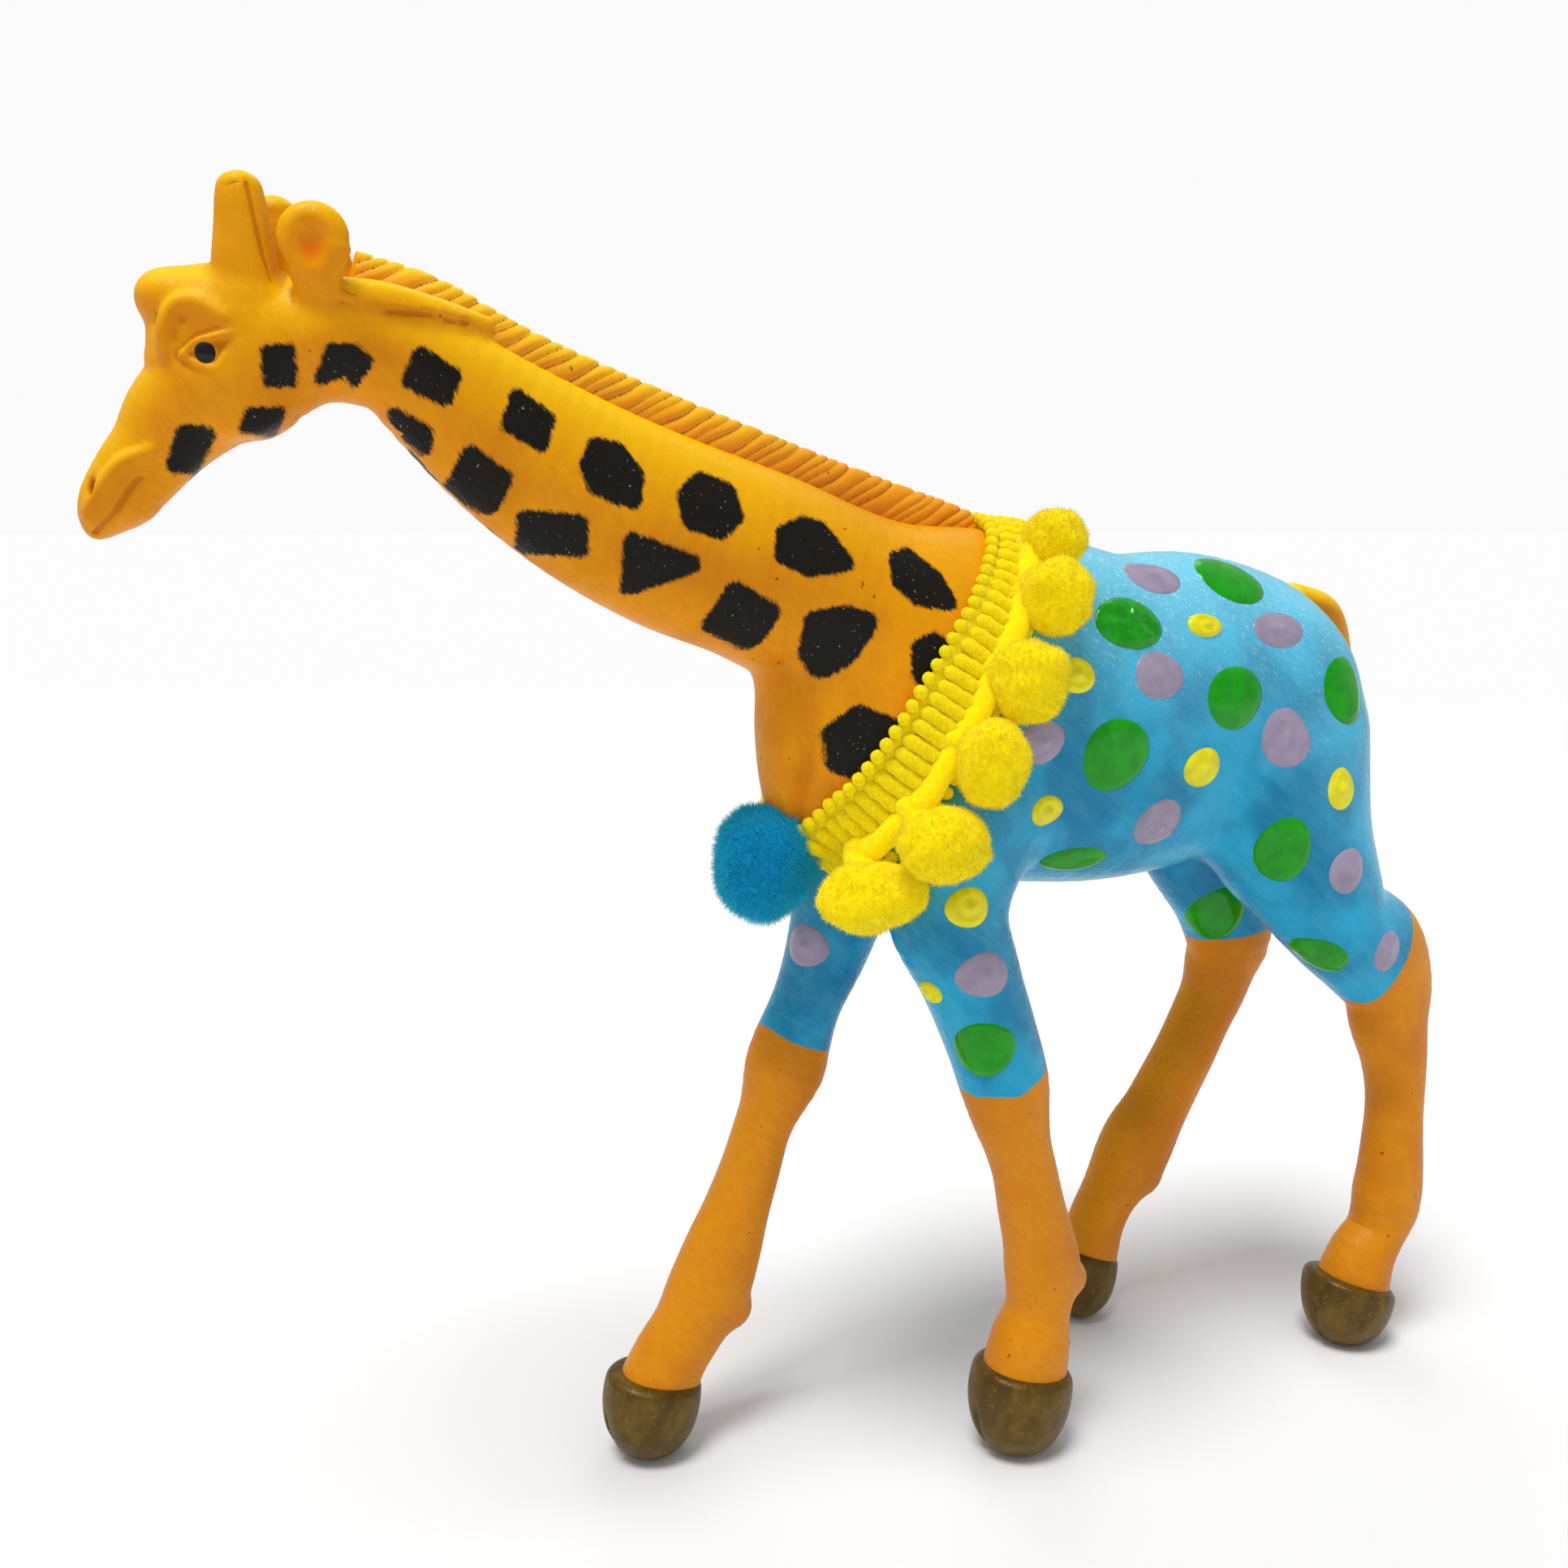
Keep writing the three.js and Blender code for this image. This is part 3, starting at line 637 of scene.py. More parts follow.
RIGHT_PATCHES = [
    ("square", -99.0, 148.0, 2.0, 2.0), ("slab", -104.5, 144.5, 2.1, 1.7),
    ("lean", -109.0, 140.0, 2.2, 2.6), ("round", -91.0, 149.0, 2.6, 2.4),
    ("diamond", -82.0, 146.6, 3.2, 2.9), ("pentagon", -71.5, 143.0, 3.4, 3.4),
    ("drop", -61.0, 138.2, 4.2, 3.6), ("shield", -48.5, 133.5, 4.2, 4.0),
    ("leaf", -34.5, 129.0, 5.0, 3.8), ("diamond", -23.5, 122.5, 3.6, 3.8),
    ("wing", -84.0, 140.2, 2.8, 2.6), ("round", -75.5, 134.2, 3.2, 3.2),
    ("diamond", -66.0, 128.6, 4.0, 3.2), ("pentagon", -54.5, 125.4, 4.2, 3.8),
    ("shield", -43.0, 119.6, 4.4, 4.4), ("round", -31.0, 113.4, 4.2, 4.4),
    ("wing", -33.5, 101.0, 3.6, 4.0),
]
PATCH_SWELL = 1.08
# Radius of a patch's corners, as a share of its smaller half-size.
PATCH_ROUNDING = 0.34
PATCH_REACH = 9
# Ahead of the jaw, left and right follow the turned head.
JAW_Y = -88


def polygon_distance(x, y, corners):
    """Signed distance to a polygon: positive inside."""
    nearest = np.full(x.shape, 1e9)
    inside = np.zeros(x.shape, bool)
    for (ax, ay), (bx, by) in zip(corners, corners[1:] + corners[:1]):
        ex, ey = bx - ax, by - ay
        share = np.clip(((x - ax) * ex + (y - ay) * ey) / (ex * ex + ey * ey), 0, 1)
        nearest = np.minimum(nearest, np.hypot(x - ax - share * ex, y - ay - share * ey))
        crosses = (ay > y) != (by > y)
        slope = ex / (ey if ey else 1e-9)
        inside ^= crosses & (x < ax + (y - ay) * slope)
    return np.where(inside, nearest, -nearest)


def patch_marks(places):
    """How deep each point lies inside the nearest black patch, in millimetres."""
    marks = np.full(len(places), -5.0)
    turned = (places - HEAD_PIVOT) @ HEAD_LEFT
    leftness = np.where(places[:, 1] < JAW_Y, turned, places[:, 0])
    for side, patches in ((1, LEFT_PATCHES), (-1, RIGHT_PATCHES)):
        for outline, y, z, width, height in patches:
            rounding = PATCH_ROUNDING * min(width, height)
            corners = [
                (y + u * (PATCH_SWELL * width - rounding), z + v * (PATCH_SWELL * height - rounding))
                for u, v in OUTLINES[outline]
            ]
            close = np.hypot(places[:, 1] - y, places[:, 2] - z) < PATCH_REACH
            near = np.flatnonzero(close & (side * leftness > 0))
            depth = polygon_distance(places[near, 1], places[near, 2], corners) + rounding
            marks[near] = np.maximum(marks[near], depth)
    return marks


# Hems of the blue suit: height at a place along Y, and the slopes ahead of it and behind it.
HEMS = {
    "front_left": (56.9, -13, 0.1, 0.42), "front_right": (60.2, -34, -0.5, -0.5),
    "rear_left": (58.9, 55.5, 0.05, 1.9), "rear_right": (65.0, 45, 0.1, 0.1),
}
# A hem ends the suit below the first height, and the collar's plane ends it above the second.
HEM_ZONE_Z = 76
COLLAR_ZONE_Z = 84


def suit_marks(places):
    """Height above the suit's hem, in millimetres: negative on the orange legs and neck."""
    x, y, z = places.T
    marks = np.full(len(places), 5.0)
    for corner, (height, middle, before, after) in HEMS.items():
        here = ((x > 0) == corner.endswith("left")) & ((y < LEG_SPLIT_Y) == corner.startswith("front"))
        here &= z < HEM_ZONE_Z
        slope = np.where(y < middle, before, after)
        marks[here] = (z - height - slope * (y - middle))[here]
    ahead = (places - COLLAR_CENTRE) @ COLLAR_AXIS
    return np.where(z > COLLAR_ZONE_Z, np.minimum(marks, -ahead), marks)


# ---- materials


def rgb(red, green, blue):
    """Screen colour, 0 to 255, as a linear colour."""
    shares = (red / 255, green / 255, blue / 255)
    return (*(s / 12.92 if s <= 0.04045 else ((s + 0.055) / 1.055) ** 2.4 for s in shares), 1)


class Recipe:
    """Builds one material's node tree."""

    def __init__(self, name, **settings):
        self.material = bpy.data.materials.new(name)
        self.material.use_nodes = True
        self.tree = self.material.node_tree
        self.shader = self.tree.nodes["Principled BSDF"]
        for key, value in settings.items():
            label = key.replace("_", " ").title().replace("Ior", "IOR")
            self.shader.inputs[label].default_value = value
        self.coords = self.tree.nodes.new("ShaderNodeTexCoord").outputs["Object"]

    def add(self, kind, inputs=None, **properties):
        node = self.tree.nodes.new("ShaderNode" + kind)
        for key, value in properties.items():
            setattr(node, key, value)
        for key, value in (inputs or {}).items():
            if isinstance(value, bpy.types.NodeSocket):
                self.tree.links.new(value, node.inputs[key])
            else:
                node.inputs[key].default_value = value
        return node

    def stretched(self, turn, scale):
        """Coordinates turned first and then shrunk, which draws a pattern out along the turned axis."""
        inputs = {"Vector": self.coords, "Rotation": turn, "Scale": scale}
        return self.add("Mapping", inputs, vector_type="TEXTURE").outputs[0]

    def noise(self, scale, detail=3.0, vector=None, roughness=0.5, distortion=0.0):
        node = self.add("TexNoise", {
            "Vector": vector or self.coords, "Scale": scale, "Detail": detail, "Roughness": roughness,
            "Distortion": distortion,
        })
        return node.outputs["Fac"]

    def math(self, operation, a, b=0.0, c=0.0):
        return self.add("Math", {0: a, 1: b, 2: c}, operation=operation).outputs[0]

    def step(self, value, low, high):
        inputs = {0: value, 1: low, 2: high, 3: 0.0, 4: 1.0}
        return self.add("MapRange", inputs, interpolation_type="SMOOTHSTEP").outputs[0]

    def mix(self, share, a, b):
        return self.add("Mix", {0: share, 6: a, 7: b}, data_type="RGBA").outputs[2]

    def tint(self, base, share, strength, colour):
        """Lays a colour over the base where share is 1, as strongly as strength."""
        return self.mix(self.math("MULTIPLY", share, strength), base, colour)

    def mark(self, name):
        return self.add("Attribute", attribute_name=name).outputs["Fac"]

    def bump(self, height, distance, below=None):
        inputs = {"Height": height, "Distance": distance, "Strength": 1.0}
        if below is not None:
            inputs["Normal"] = below
        return self.add("Bump", inputs).outputs[0]

    def finish(self, colour, roughness=None, normal=None):
        for label, value in (("Base Color", colour), ("Roughness", roughness), ("Normal", normal)):
            if value is not None:
                self.tree.links.new(value, self.shader.inputs[label])
        return self.material


BLACK = rgb(22, 20, 15)


def lie_of(degrees):
    """A turn about X: the way the hair lies along the side of the body."""
    return math.radians(degrees), 0, 0


def fur_strokes(recipe, degrees):
    """Short incised strokes, longer along the coat than across it."""
    lie = recipe.stretched(lie_of(degrees), (1.0, 4.5, 1.0))
    return recipe.noise(3200.0, 2.0, lie, 0.6), recipe.noise(1200.0, 2.0, lie, 0.55)


def coat_colour(recipe, light, deep, coarse):
    """Brushed paint: soft drifts, lighter with painted light where the skin faces upward, and darker with
    painted shade in creases.
    """
    drift = recipe.step(recipe.noise(90.0, 3.0), 0.35, 0.7)
    base = recipe.tint(recipe.mix(drift, light, deep), recipe.step(coarse, 0.35, 0.75), 0.45, deep)
    # Painted light: skin that faces upward is mixed toward pale yellow.
    base = recipe.mix(recipe.mark("top_light"), base, rgb(255, 206, 0))
    flecks = recipe.step(recipe.noise(820.0, 1.0), 0.775, 0.79)
    base = recipe.tint(base, flecks, 0.7, rgb(104, 50, 0))
    # Painted shade: creases darken toward brown.
    crease_shade = recipe.step(recipe.mark("bend"), -0.25, -1.2)
    return recipe.tint(base, crease_shade, 0.5, rgb(176, 84, 0)), drift


def coat_bump(recipe, fine, coarse, depth=0.0001):
    lumps = recipe.bump(recipe.noise(420.0, 2.0), 0.00012)
    combed = recipe.bump(coarse, depth * 1.3, lumps)
    return recipe.bump(fine, depth * 0.7, combed)


def orange_material():
    recipe = Recipe("orange_coat", roughness=0.42, specular_ior_level=0.13)
    fine, coarse = fur_strokes(recipe, -62)
    colour, drift = coat_colour(recipe, rgb(232, 150, 0), rgb(214, 130, 0), coarse)
    ragged = recipe.math("MULTIPLY_ADD", coarse, 0.36, -0.18)
    dabbed = recipe.math("MULTIPLY_ADD", fine, 1.0, -0.5)
    edge = recipe.math("ADD", recipe.math("ADD", recipe.mark("patch"), ragged), dabbed)
    # Painted highlights: pale specks glint inside the black patches.
    glint_specks = recipe.step(recipe.noise(2600.0, 2.0), 0.70, 0.745)
    black = recipe.tint(BLACK, glint_specks, 0.8, rgb(176, 168, 146))
    colour = recipe.tint(colour, recipe.mark("bowl"), 0.75, rgb(222, 84, 2))
    colour = recipe.mix(recipe.step(edge, -0.25, 0.35), colour, black)
    roughness = recipe.math("MULTIPLY_ADD", drift, 0.12, 0.36)
    return recipe.finish(colour, roughness, coat_bump(recipe, fine, coarse))


def suit_material():
    """Blue paint down to the hems, and the orange coat below them."""
    recipe = Recipe("suit_coat", roughness=0.3, specular_ior_level=0.2)
    fine, coarse = fur_strokes(recipe, -42)
    orange, _ = coat_colour(recipe, rgb(226, 142, 0), rgb(208, 124, 0), coarse)
    brushed = recipe.noise(420.0, 4.0, recipe.stretched(lie_of(-40), (1.0, 5.5, 1.0)), 0.65)
    pale = recipe.step(brushed, 0.38, 0.72)
    blue = recipe.step(recipe.noise(70.0, 3.0), 0.38, 0.62)
    blue = recipe.mix(blue, rgb(26, 170, 214), rgb(2, 126, 172))
    blue = recipe.tint(blue, pale, 0.15, rgb(110, 198, 222))
    blue = recipe.tint(blue, recipe.step(fine, 0.55, 0.8), 0.35, rgb(6, 112, 164))
    # Painted light: upward-facing blue paint is lightened toward pale cyan.
    blue = recipe.tint(blue, recipe.mark("top_light"), 0.9, rgb(122, 214, 240))
    # Painted highlights: pale glints along fine strokes on upward-facing paint.
    painted_glints = recipe.math("MULTIPLY", recipe.step(fine, 0.57, 0.68), recipe.mark("top_light"))
    blue = recipe.tint(blue, painted_glints, 0.55, rgb(226, 244, 250))
    wave = recipe.math("MULTIPLY_ADD", recipe.noise(260.0, 2.0), 1.2, -0.6)
    hem = recipe.step(recipe.math("ADD", recipe.mark("suit"), wave), -0.12, 0.12)
    gloss = recipe.math("MULTIPLY_ADD", pale, 0.16, -0.25)
    roughness = recipe.math("MULTIPLY_ADD", hem, gloss, 0.45)
    normal = coat_bump(recipe, fine, coarse, 0.00011)
    return recipe.finish(recipe.mix(hem, orange, blue), roughness, normal)


def mane_material():
    recipe = Recipe("mane_coat", roughness=0.5, specular_ior_level=0.25)
    fine, coarse = fur_strokes(recipe, 35)
    colour, _ = coat_colour(recipe, rgb(240, 146, 0), rgb(224, 130, 0), coarse)
    # Painted shade: the grooves between the locks darken toward brown.
    groove_shade = recipe.step(recipe.mark("groove_shade"), 0.35, 1.0)
    colour = recipe.tint(colour, groove_shade, 0.8, rgb(150, 76, 0))
    return recipe.finish(colour, None, coat_bump(recipe, fine, coarse, 0.00005))


def hoof_material():
    recipe = Recipe("hoof_bronze", roughness=0.4, metallic=0.3, specular_ior_level=0.3)
    smear = recipe.noise(260.0, 5.0, recipe.stretched(lie_of(70), (1.0, 2.5, 1.0)), 0.6, 0.4)
    colour = recipe.mix(recipe.step(smear, 0.35, 0.7), rgb(80, 60, 12), rgb(112, 86, 20))
    # Painted glints: brighter gold specks over the bronze.
    glint_specks = recipe.step(recipe.noise(1500.0), 0.58, 0.74)
    colour = recipe.tint(colour, glint_specks, 0.3, rgb(168, 132, 40))
    roughness = recipe.math("MULTIPLY_ADD", smear, 0.25, 0.3)
    return recipe.finish(colour, roughness, recipe.bump(recipe.noise(900.0, 4.0), 0.00008))


def gloss_material(name, light, deep, roughness=0.16):
    """Thick paint: glossy, with faint swirls and small dimples."""
    recipe = Recipe(name, roughness=roughness, specular_ior_level=0.32)
    swirl = recipe.noise(300.0, 3.0, None, 0.55, 0.6)
    colour = recipe.mix(recipe.step(swirl, 0.35, 0.68), light, deep)
    return recipe.finish(colour, None, recipe.bump(recipe.noise(190.0, 2.0), 0.0001))


def yarn_material(name, light, deep, thread, sheen, painted_glow):
    """Soft spun fibre: matt, with sheen and a fine tangle, and a painted glow in its light colour that
    lightens the shade among its fibres.
    """
    # The emission is a painted glow: the yarn lights itself.
    recipe = Recipe(
        name, roughness=0.95, sheen_weight=sheen, sheen_roughness=0.5, specular_ior_level=0.15,
        emission_color=light, emission_strength=painted_glow, subsurface_weight=0.4,
        subsurface_radius=(1.0, 0.9, 0.4), subsurface_scale=0.0016,
    )
    tangle = recipe.noise(thread, 4.0, None, 0.7, 0.6)
    clumps = recipe.step(recipe.noise(420.0, 3.0), 0.5, 0.75)
    colour = recipe.mix(recipe.step(tangle, 0.35, 0.7), deep, light)
    return recipe.finish(recipe.tint(colour, clumps, 0.2, deep), None, recipe.bump(tangle, 0.00022))


# ---- mane, tail and hooves

MANE = [
    (-1.5, -93.2, 159.6, 1.7, 3.2), (-1.1, -84.2, 156.3, 2.4, 4.2), (-0.6, -74.7, 151.5, 2.4, 4.3),
    (-0.2, -64.6, 147.5, 2.2, 4.3), (0, -52.4, 143.2, 2.2, 4.3), (0, -38.6, 138.7, 2.2, 4.3),
    (0, -24.5, 134.4, 2.2, 4.2), (0, -17, 132.6, 2.1, 3.9), (0, -11.4, 131.4, 1.8, 3.3),
]
LOCK_SLANT = math.radians(25)
LOCK_PITCH = 1.42
LOCK_DEPTH = 0.6


def lock_grooves(y, z):
    """Narrow slanting grooves between rounded locks: 1 in a groove, 0 on a lock."""
    phase = (z * math.cos(LOCK_SLANT) - y * math.sin(LOCK_SLANT)) / LOCK_PITCH
    phase = phase + 0.24 * np.sin(1.7 * phase) + 0.2 * np.sin(0.61 * phase + 1) + 0.06 * np.sin(0.9 * y)
    uneven = 0.7 + 0.3 * np.sin(2.4 * np.floor(phase))
    return uneven * (1 - np.abs(np.sin(math.pi * phase))) ** 2.4


def make_mane():
    field = Field((-5, -99, 125), (4, -11, 164), 0.25)
    limb(field, MANE, 0, 1.5)
    _, y, z = field.places((0, 0, 0), field.count)
    field.values += LOCK_DEPTH * lock_grooves(y, z)
    mesh = cut_piece(*skin_of(field), [(HEAD_SEAM, HEAD_SEAM_AXIS)])
    piece = finish_piece(mesh, "mane_crest", "mane_paint", ["mane"], MANE_PAINT)
    places = places_of(piece)
    set_marks(piece, "bend", np.zeros(len(places)))
    set_marks(piece, "groove_shade", lock_grooves(places[:, 1], places[:, 2]))
    set_top_light_marks(piece, field, places)


def make_tail():
    field = Field((-9, 44, 74), (6, 72, 127), 0.35)
    limb(field, TAIL, 0, 1.5)
    x, y, z = field.places((0, 0, 0), field.count)
    tuft = np.clip((92 - z) / 8, 0, 1)
    field.values += 0.3 * tuft * np.abs(np.sin(4 * np.arctan2(y - 65.8, x + 3.5) + 0.2 * z))
    sculpted = (field, skin_of(field), laplacian(field))
    skin_piece("tail_skin", sculpted, [], "orange_paint", ["tail"], ORANGE)


# A hoof's sections: how far to the rear, height, share of the half-width.
HOOF_PROFILE = [(-0.1, 3.3, 0.66), (-0.1, 5.6, 0.93), (0.0, 8.2, 1.02), (0.3, 10.8, 1.0), (0.8, 15, 0.9)]


def make_hoof(corner):
    (middle_x, middle_y), size, height, slope = HOOVES[corner]
    field = Field((middle_x - 9, middle_y - 11, -1), (middle_x + 9, middle_y + 11, 18), 0.3)
    sections = [
        (middle_x, middle_y + rear, level, size * share, size * share * 1.1)
        for rear, level, share in HOOF_PROFILE
    ]
    limb(field, sections, 0, 0.8)
    x, y, z = field.places((0, 0, 0), field.count)
    values = field.values
    coronet = (z - height + slope * (y - middle_y)) / math.hypot(1, slope)
    for cut, soft in ((-z, 1.4), (coronet, 1.6)):
        blend = np.maximum(soft - np.abs(values - cut), 0) / soft
        values = np.maximum(values, cut) + blend * blend * soft * 0.25
    ahead = np.clip((middle_y - y - 3) / 4, 0, 1)
    cleft = 0.8 * ahead * np.exp(-((x - middle_x) / 0.45) ** 2) * np.clip((9 - z) / 3, 0, 1)
    field.values = (values + cleft).astype(np.float32)
    mesh = cut_piece(*skin_of(field), [])
    finish_piece(mesh, f"hoof_{corner}_horn", "bronze_paint", [f"hoof_{corner}"], BRONZE)


# ---- domes of thick paint

# Each dot: a place near the skin, and its width and height on the skin; first those on the left side.
DOTS = {
    "lilac": [
        (8.3, 14.2, 125.5, 9.7, 7.0), (13.5, 33.8, 117.9, 10.0, 6.0), (16.1, 9.7, 112.6, 9.0, 6.6),
        (16.3, -9.9, 104.7, 7.7, 6.1), (16.7, 33, 102.5, 8.7, 8.8), (13.8, 12.4, 91.6, 8.2, 8.3),
        (18.7, 45.3, 82, 6.9, 7.2), (-6.3, -32.9, 74.3, 6.8, 6.3), (18.8, 54.9, 68.3, 5.3, 6.8),
        (17.7, -19.1, 74.7, 7.8, 6.5),
        (-8, 20, 125, 8.0, 5.0), (-15.5, 14, 115, 8.0, 6.6), (-16.5, -6, 106, 7.4, 6.1),
        (-16.5, 40, 101, 8.2, 8.1), (-13.5, 16, 92, 8.2, 6.6), (-15, -17, 92, 7.4, 6.6),
        (-16, 47, 79, 7.2, 6.6), (-14, -25, 70, 6.4, 5.9),
    ],
    "green": [
        (8.4, 28.8, 125.1, 12.4, 10.1), (13.8, 6, 119.7, 11.8, 7.9), (16.6, 23.3, 108.9, 10.8, 9.1),
        (15.9, 45.6, 108.8, 10.2, 10.6), (16.5, 2.4, 102.2, 11.3, 10.2),
        (16.3, 34.5, 85.8, 8.5, 10.9), (10.1, 0.8, 86.7, 10.8, 5.6), (-5, 42.9, 70.1, 10.1, 11.5),
        (15.5, 44, 67.9, 9.6, 6.7), (16.2, -17.9, 63.8, 8.7, 8.5),
        (-10, 34, 122, 9.6, 7.0), (-12.5, 4, 121, 10.6, 7.5), (-16.5, 27, 108, 9.8, 9.2),
        (-16.5, 3, 99, 11.2, 10.3), (-15.5, 49, 108, 7.4, 9.4), (-16, 36, 86, 9.8, 9.6),
        (-15, -23, 80, 8.8, 8.1), (-15.5, 50, 68.5, 7.2, 5.5),
    ],
    "yellow": [
        (13.7, 19.7, 119, 6.5, 3.6), (15.8, -4.3, 113.2, 6.2, 5.0), (16.3, 17.9, 99.3, 6.7, 6.1),
        (18.4, 43.3, 94.5, 5.9, 6.4), (14.7, -7.6, 95.1, 6.0, 4.5), (17.2, -21.5, 84, 6.2, 5.6),
        (12.4, -24, 71.6, 3.9, 3.8),
        (-13.5, 24, 118, 5.9, 4.2), (-16.5, 16, 104, 6.1, 5.5), (-15.5, 44, 92, 5.9, 5.5),
        (-15, -3, 88.5, 5.9, 4.6), (-16.5, -12, 112, 5.9, 4.8), (-14.5, 27, 95.5, 5.9, 5.0),
    ],
}
RINGS = 9
SPOKES = 36
DOT_RISE = 0.45
# How deep a drop of paint reaches under the skin, so that no gap shows at its edge.
DOT_ROOT = 0.35
# Height of the nipple and of the rim on each colour's dots.
DOT_EXTRAS = {"lilac": (0.4, 0.0), "green": (0.0, 0.08), "yellow": (0.5, 0.22)}


def dome_faces():
    """The faces of a drop of paint: its top, its underside, and the wall between their edges."""
    faces = []
    for spoke in range(SPOKES):
        other = (spoke + 1) % SPOKES
        faces.append((0, 1 + spoke, 1 + other))
        for ring in range(RINGS - 1):
            a, b = 1 + ring * SPOKES, 1 + (ring + 1) * SPOKES
            faces.append((a + spoke, b + spoke, b + other, a + other))
    under = 1 + RINGS * SPOKES
    faces += [tuple(under + corner for corner in reversed(face)) for face in faces]
    edge = under - SPOKES
    for spoke in range(SPOKES):
        other = (spoke + 1) % SPOKES
        faces.append((edge + spoke, under + edge + spoke, under + edge + other, edge + other))
    return faces


def dome(tree, place, width, height, rise, nipple=0.0, rim=0.0, wrinkle=0.0):
    """A closed drop of paint on the skin in tree, with the heights of its nipple, rim and wrinkles."""
    foot, outward, _, _ = tree.find_nearest(Vector(place))
    rear = Vector((0.0, 1.0, 0.0))
    rear = (rear - outward * rear.dot(outward)).normalized()
    upward = outward.cross(rear)
    if upward.z < 0:
        upward = -upward
    tops, feet = [], []
    wobble = random.uniform(0, math.tau)
    for ring in range(RINGS + 1):
        share = ring / RINGS
        lift = rise * (1 - share ** 3.2) + nipple * math.exp(-(share / 0.26) ** 2)
        lift += rim * math.exp(-((share - 0.72) / 0.14) ** 2) - 0.05 * (share == 1)
        for spoke in range(SPOKES if ring else 1):
            turn = math.tau * spoke / SPOKES
            reach = share * (1 + 0.03 * math.sin(2 * turn + wobble) + 0.02 * math.sin(3 * turn - wobble))
            offset = rear * (reach * width / 2 * math.cos(turn))
            offset += upward * (reach * height / 2 * math.sin(turn))
            base = tree.ray_cast(foot + offset + outward * 4, -outward, 9)[0]
            if base is None:
                base = tree.find_nearest(foot + offset)[0]
            crinkle = wrinkle * max(noise.noise(base * 0.8) + 0.2, 0) * (1 - share ** 4)
            tops.append(base + outward * (lift + crinkle))
            feet.append(base - outward * DOT_ROOT)
    faces = dome_faces()
    if outward.dot(rear.cross(upward)) < 0:
        faces = [tuple(reversed(face)) for face in faces]
    return tops + feet, faces


def join_solids(solids):
    points, faces = [], []
    for more_points, more_faces in solids:
        start = len(points)
        points += [tuple(point) for point in more_points]
        faces += [tuple(start + corner for corner in face) for face in more_faces]
    return points, faces


# ---- collar

BRAID_PITCH = 1.95
RIB_HALF = 3.0
RIB_RADIUS = 1.08
RIB_RINGS = 20
RIB_SPOKES = 14
RIB_LIFT = 0.9
BEAD_REACH = 3.8
BEAD_LIFT = 0.75
# The flat cords that the ribs are woven over: place across the braid and lift.
GROUND_CORDS = ((2.6, 0.25), (-2.6, 0.25), (0.0, 0.2))
# Their half-width and half-depth.
CORD_SIZE = (1.5, 0.62)
CORD_RINGS = 200
CORD_SPOKES = 10
RING_SPOTS = 240
# Loose fibres, here and on the pompoms: count, length, root width and spread.
BRAID_FUZZ = (14000, 0.42, 0.035, 0.9)
POM_FUZZ = (5200, 0.75, 0.05, 0.75)
CHEST_FUZZ = (26000, 1.5, 0.05, 0.6)


def collar_ring(tree):
    """Spots of the collar's middle line where it lies on the body."""
    across = np.array([1.0, 0.0, 0.0])
    upward = -COLLAR_DOWN
    spots = []
    for index in range(RING_SPOTS):
        turn = math.tau * index / RING_SPOTS
        out = across * math.sin(turn) + upward * math.cos(turn)
        centre = COLLAR_CENTRE + COLLAR_AXIS * (1.3 * math.sin(turn) ** 2 - 0.6)
        hit = tree.ray_cast(Vector(centre + out * 60), Vector(-out), 60)
        spots.append(np.array(hit[0]))
    spots = np.array(spots)
    for _ in range(3):
        spots = (np.roll(spots, 1, 0) + 2 * spots + np.roll(spots, -1, 0)) / 4
    return spots


def ring_sampler(spots):
    closed = np.vstack([spots, spots[:1]])
    travel = np.concatenate([[0], np.cumsum(np.linalg.norm(np.diff(closed, axis=0), axis=1))])

    def at(distance):
        distance = distance % travel[-1]
        return np.array([np.interp(distance, travel, closed[:, k]) for k in range(3)])

    return at, travel[-1]


def ring_faces(low, high, spokes):
    """The faces between two rings of points; each ring is given by the number of its first point."""
    pairs = [(spoke, (spoke + 1) % spokes) for spoke in range(spokes)]
    return [(low + a, low + b, high + b, high + a) for a, b in pairs]


def tube(path, radii, spokes, side, ripple):
    """A closed tube along a path, with an elliptic section whose first radius is toward side."""
    points, faces = [], []
    for index, place in enumerate(path):
        ahead = path[min(index + 1, len(path) - 1)] - path[max(index - 1, 0)]
        ahead /= np.linalg.norm(ahead) + 1e-12
        first = side - ahead * (ahead @ side)
        first /= np.linalg.norm(first)
        second = np.cross(ahead, first)
        for spoke in range(spokes):
            turn = math.tau * spoke / spokes
            swell = 1 + ripple(index, turn)
            points.append(
                place + first * (radii[index][0] * swell * math.cos(turn))
                + second * (radii[index][1] * swell * math.sin(turn))
            )
    for index in range(len(path) - 1):
        faces += ring_faces(index * spokes, (index + 1) * spokes, spokes)
    last = (len(path) - 1) * spokes
    faces.append(tuple(reversed(range(spokes))))
    faces.append(tuple(range(last, last + spokes)))
    return points, faces


def braid_frame(at, distance):
    """A place on the collar's middle line, the directions along it, across to the neck and outward,
    and how wide the braid is there."""
    middle = at(distance)
    along = at(distance + 0.8) - at(distance - 0.8)
    along /= np.linalg.norm(along)
    across = COLLAR_AXIS - along * (along @ COLLAR_AXIS)
    across /= np.linalg.norm(across)
    outward = np.cross(along, across)
    if outward @ (middle - COLLAR_CENTRE) < 0:
        outward = -outward
    crest = min(max(0.0, (middle[2] - 110) / 24), 1)
    return middle, along, across, outward, 1.28 - 0.45 * crest


def rest_on(tree, spot, middle, outward):
    """A spot of the braid lowered or raised along outward until it lies on the body."""
    hit = tree.ray_cast(Vector(spot + outward * 5), Vector(-outward), 12)[0]
    base = np.array(hit) if hit else spot
    return spot + outward * max((base - middle) @ outward, -1.2)


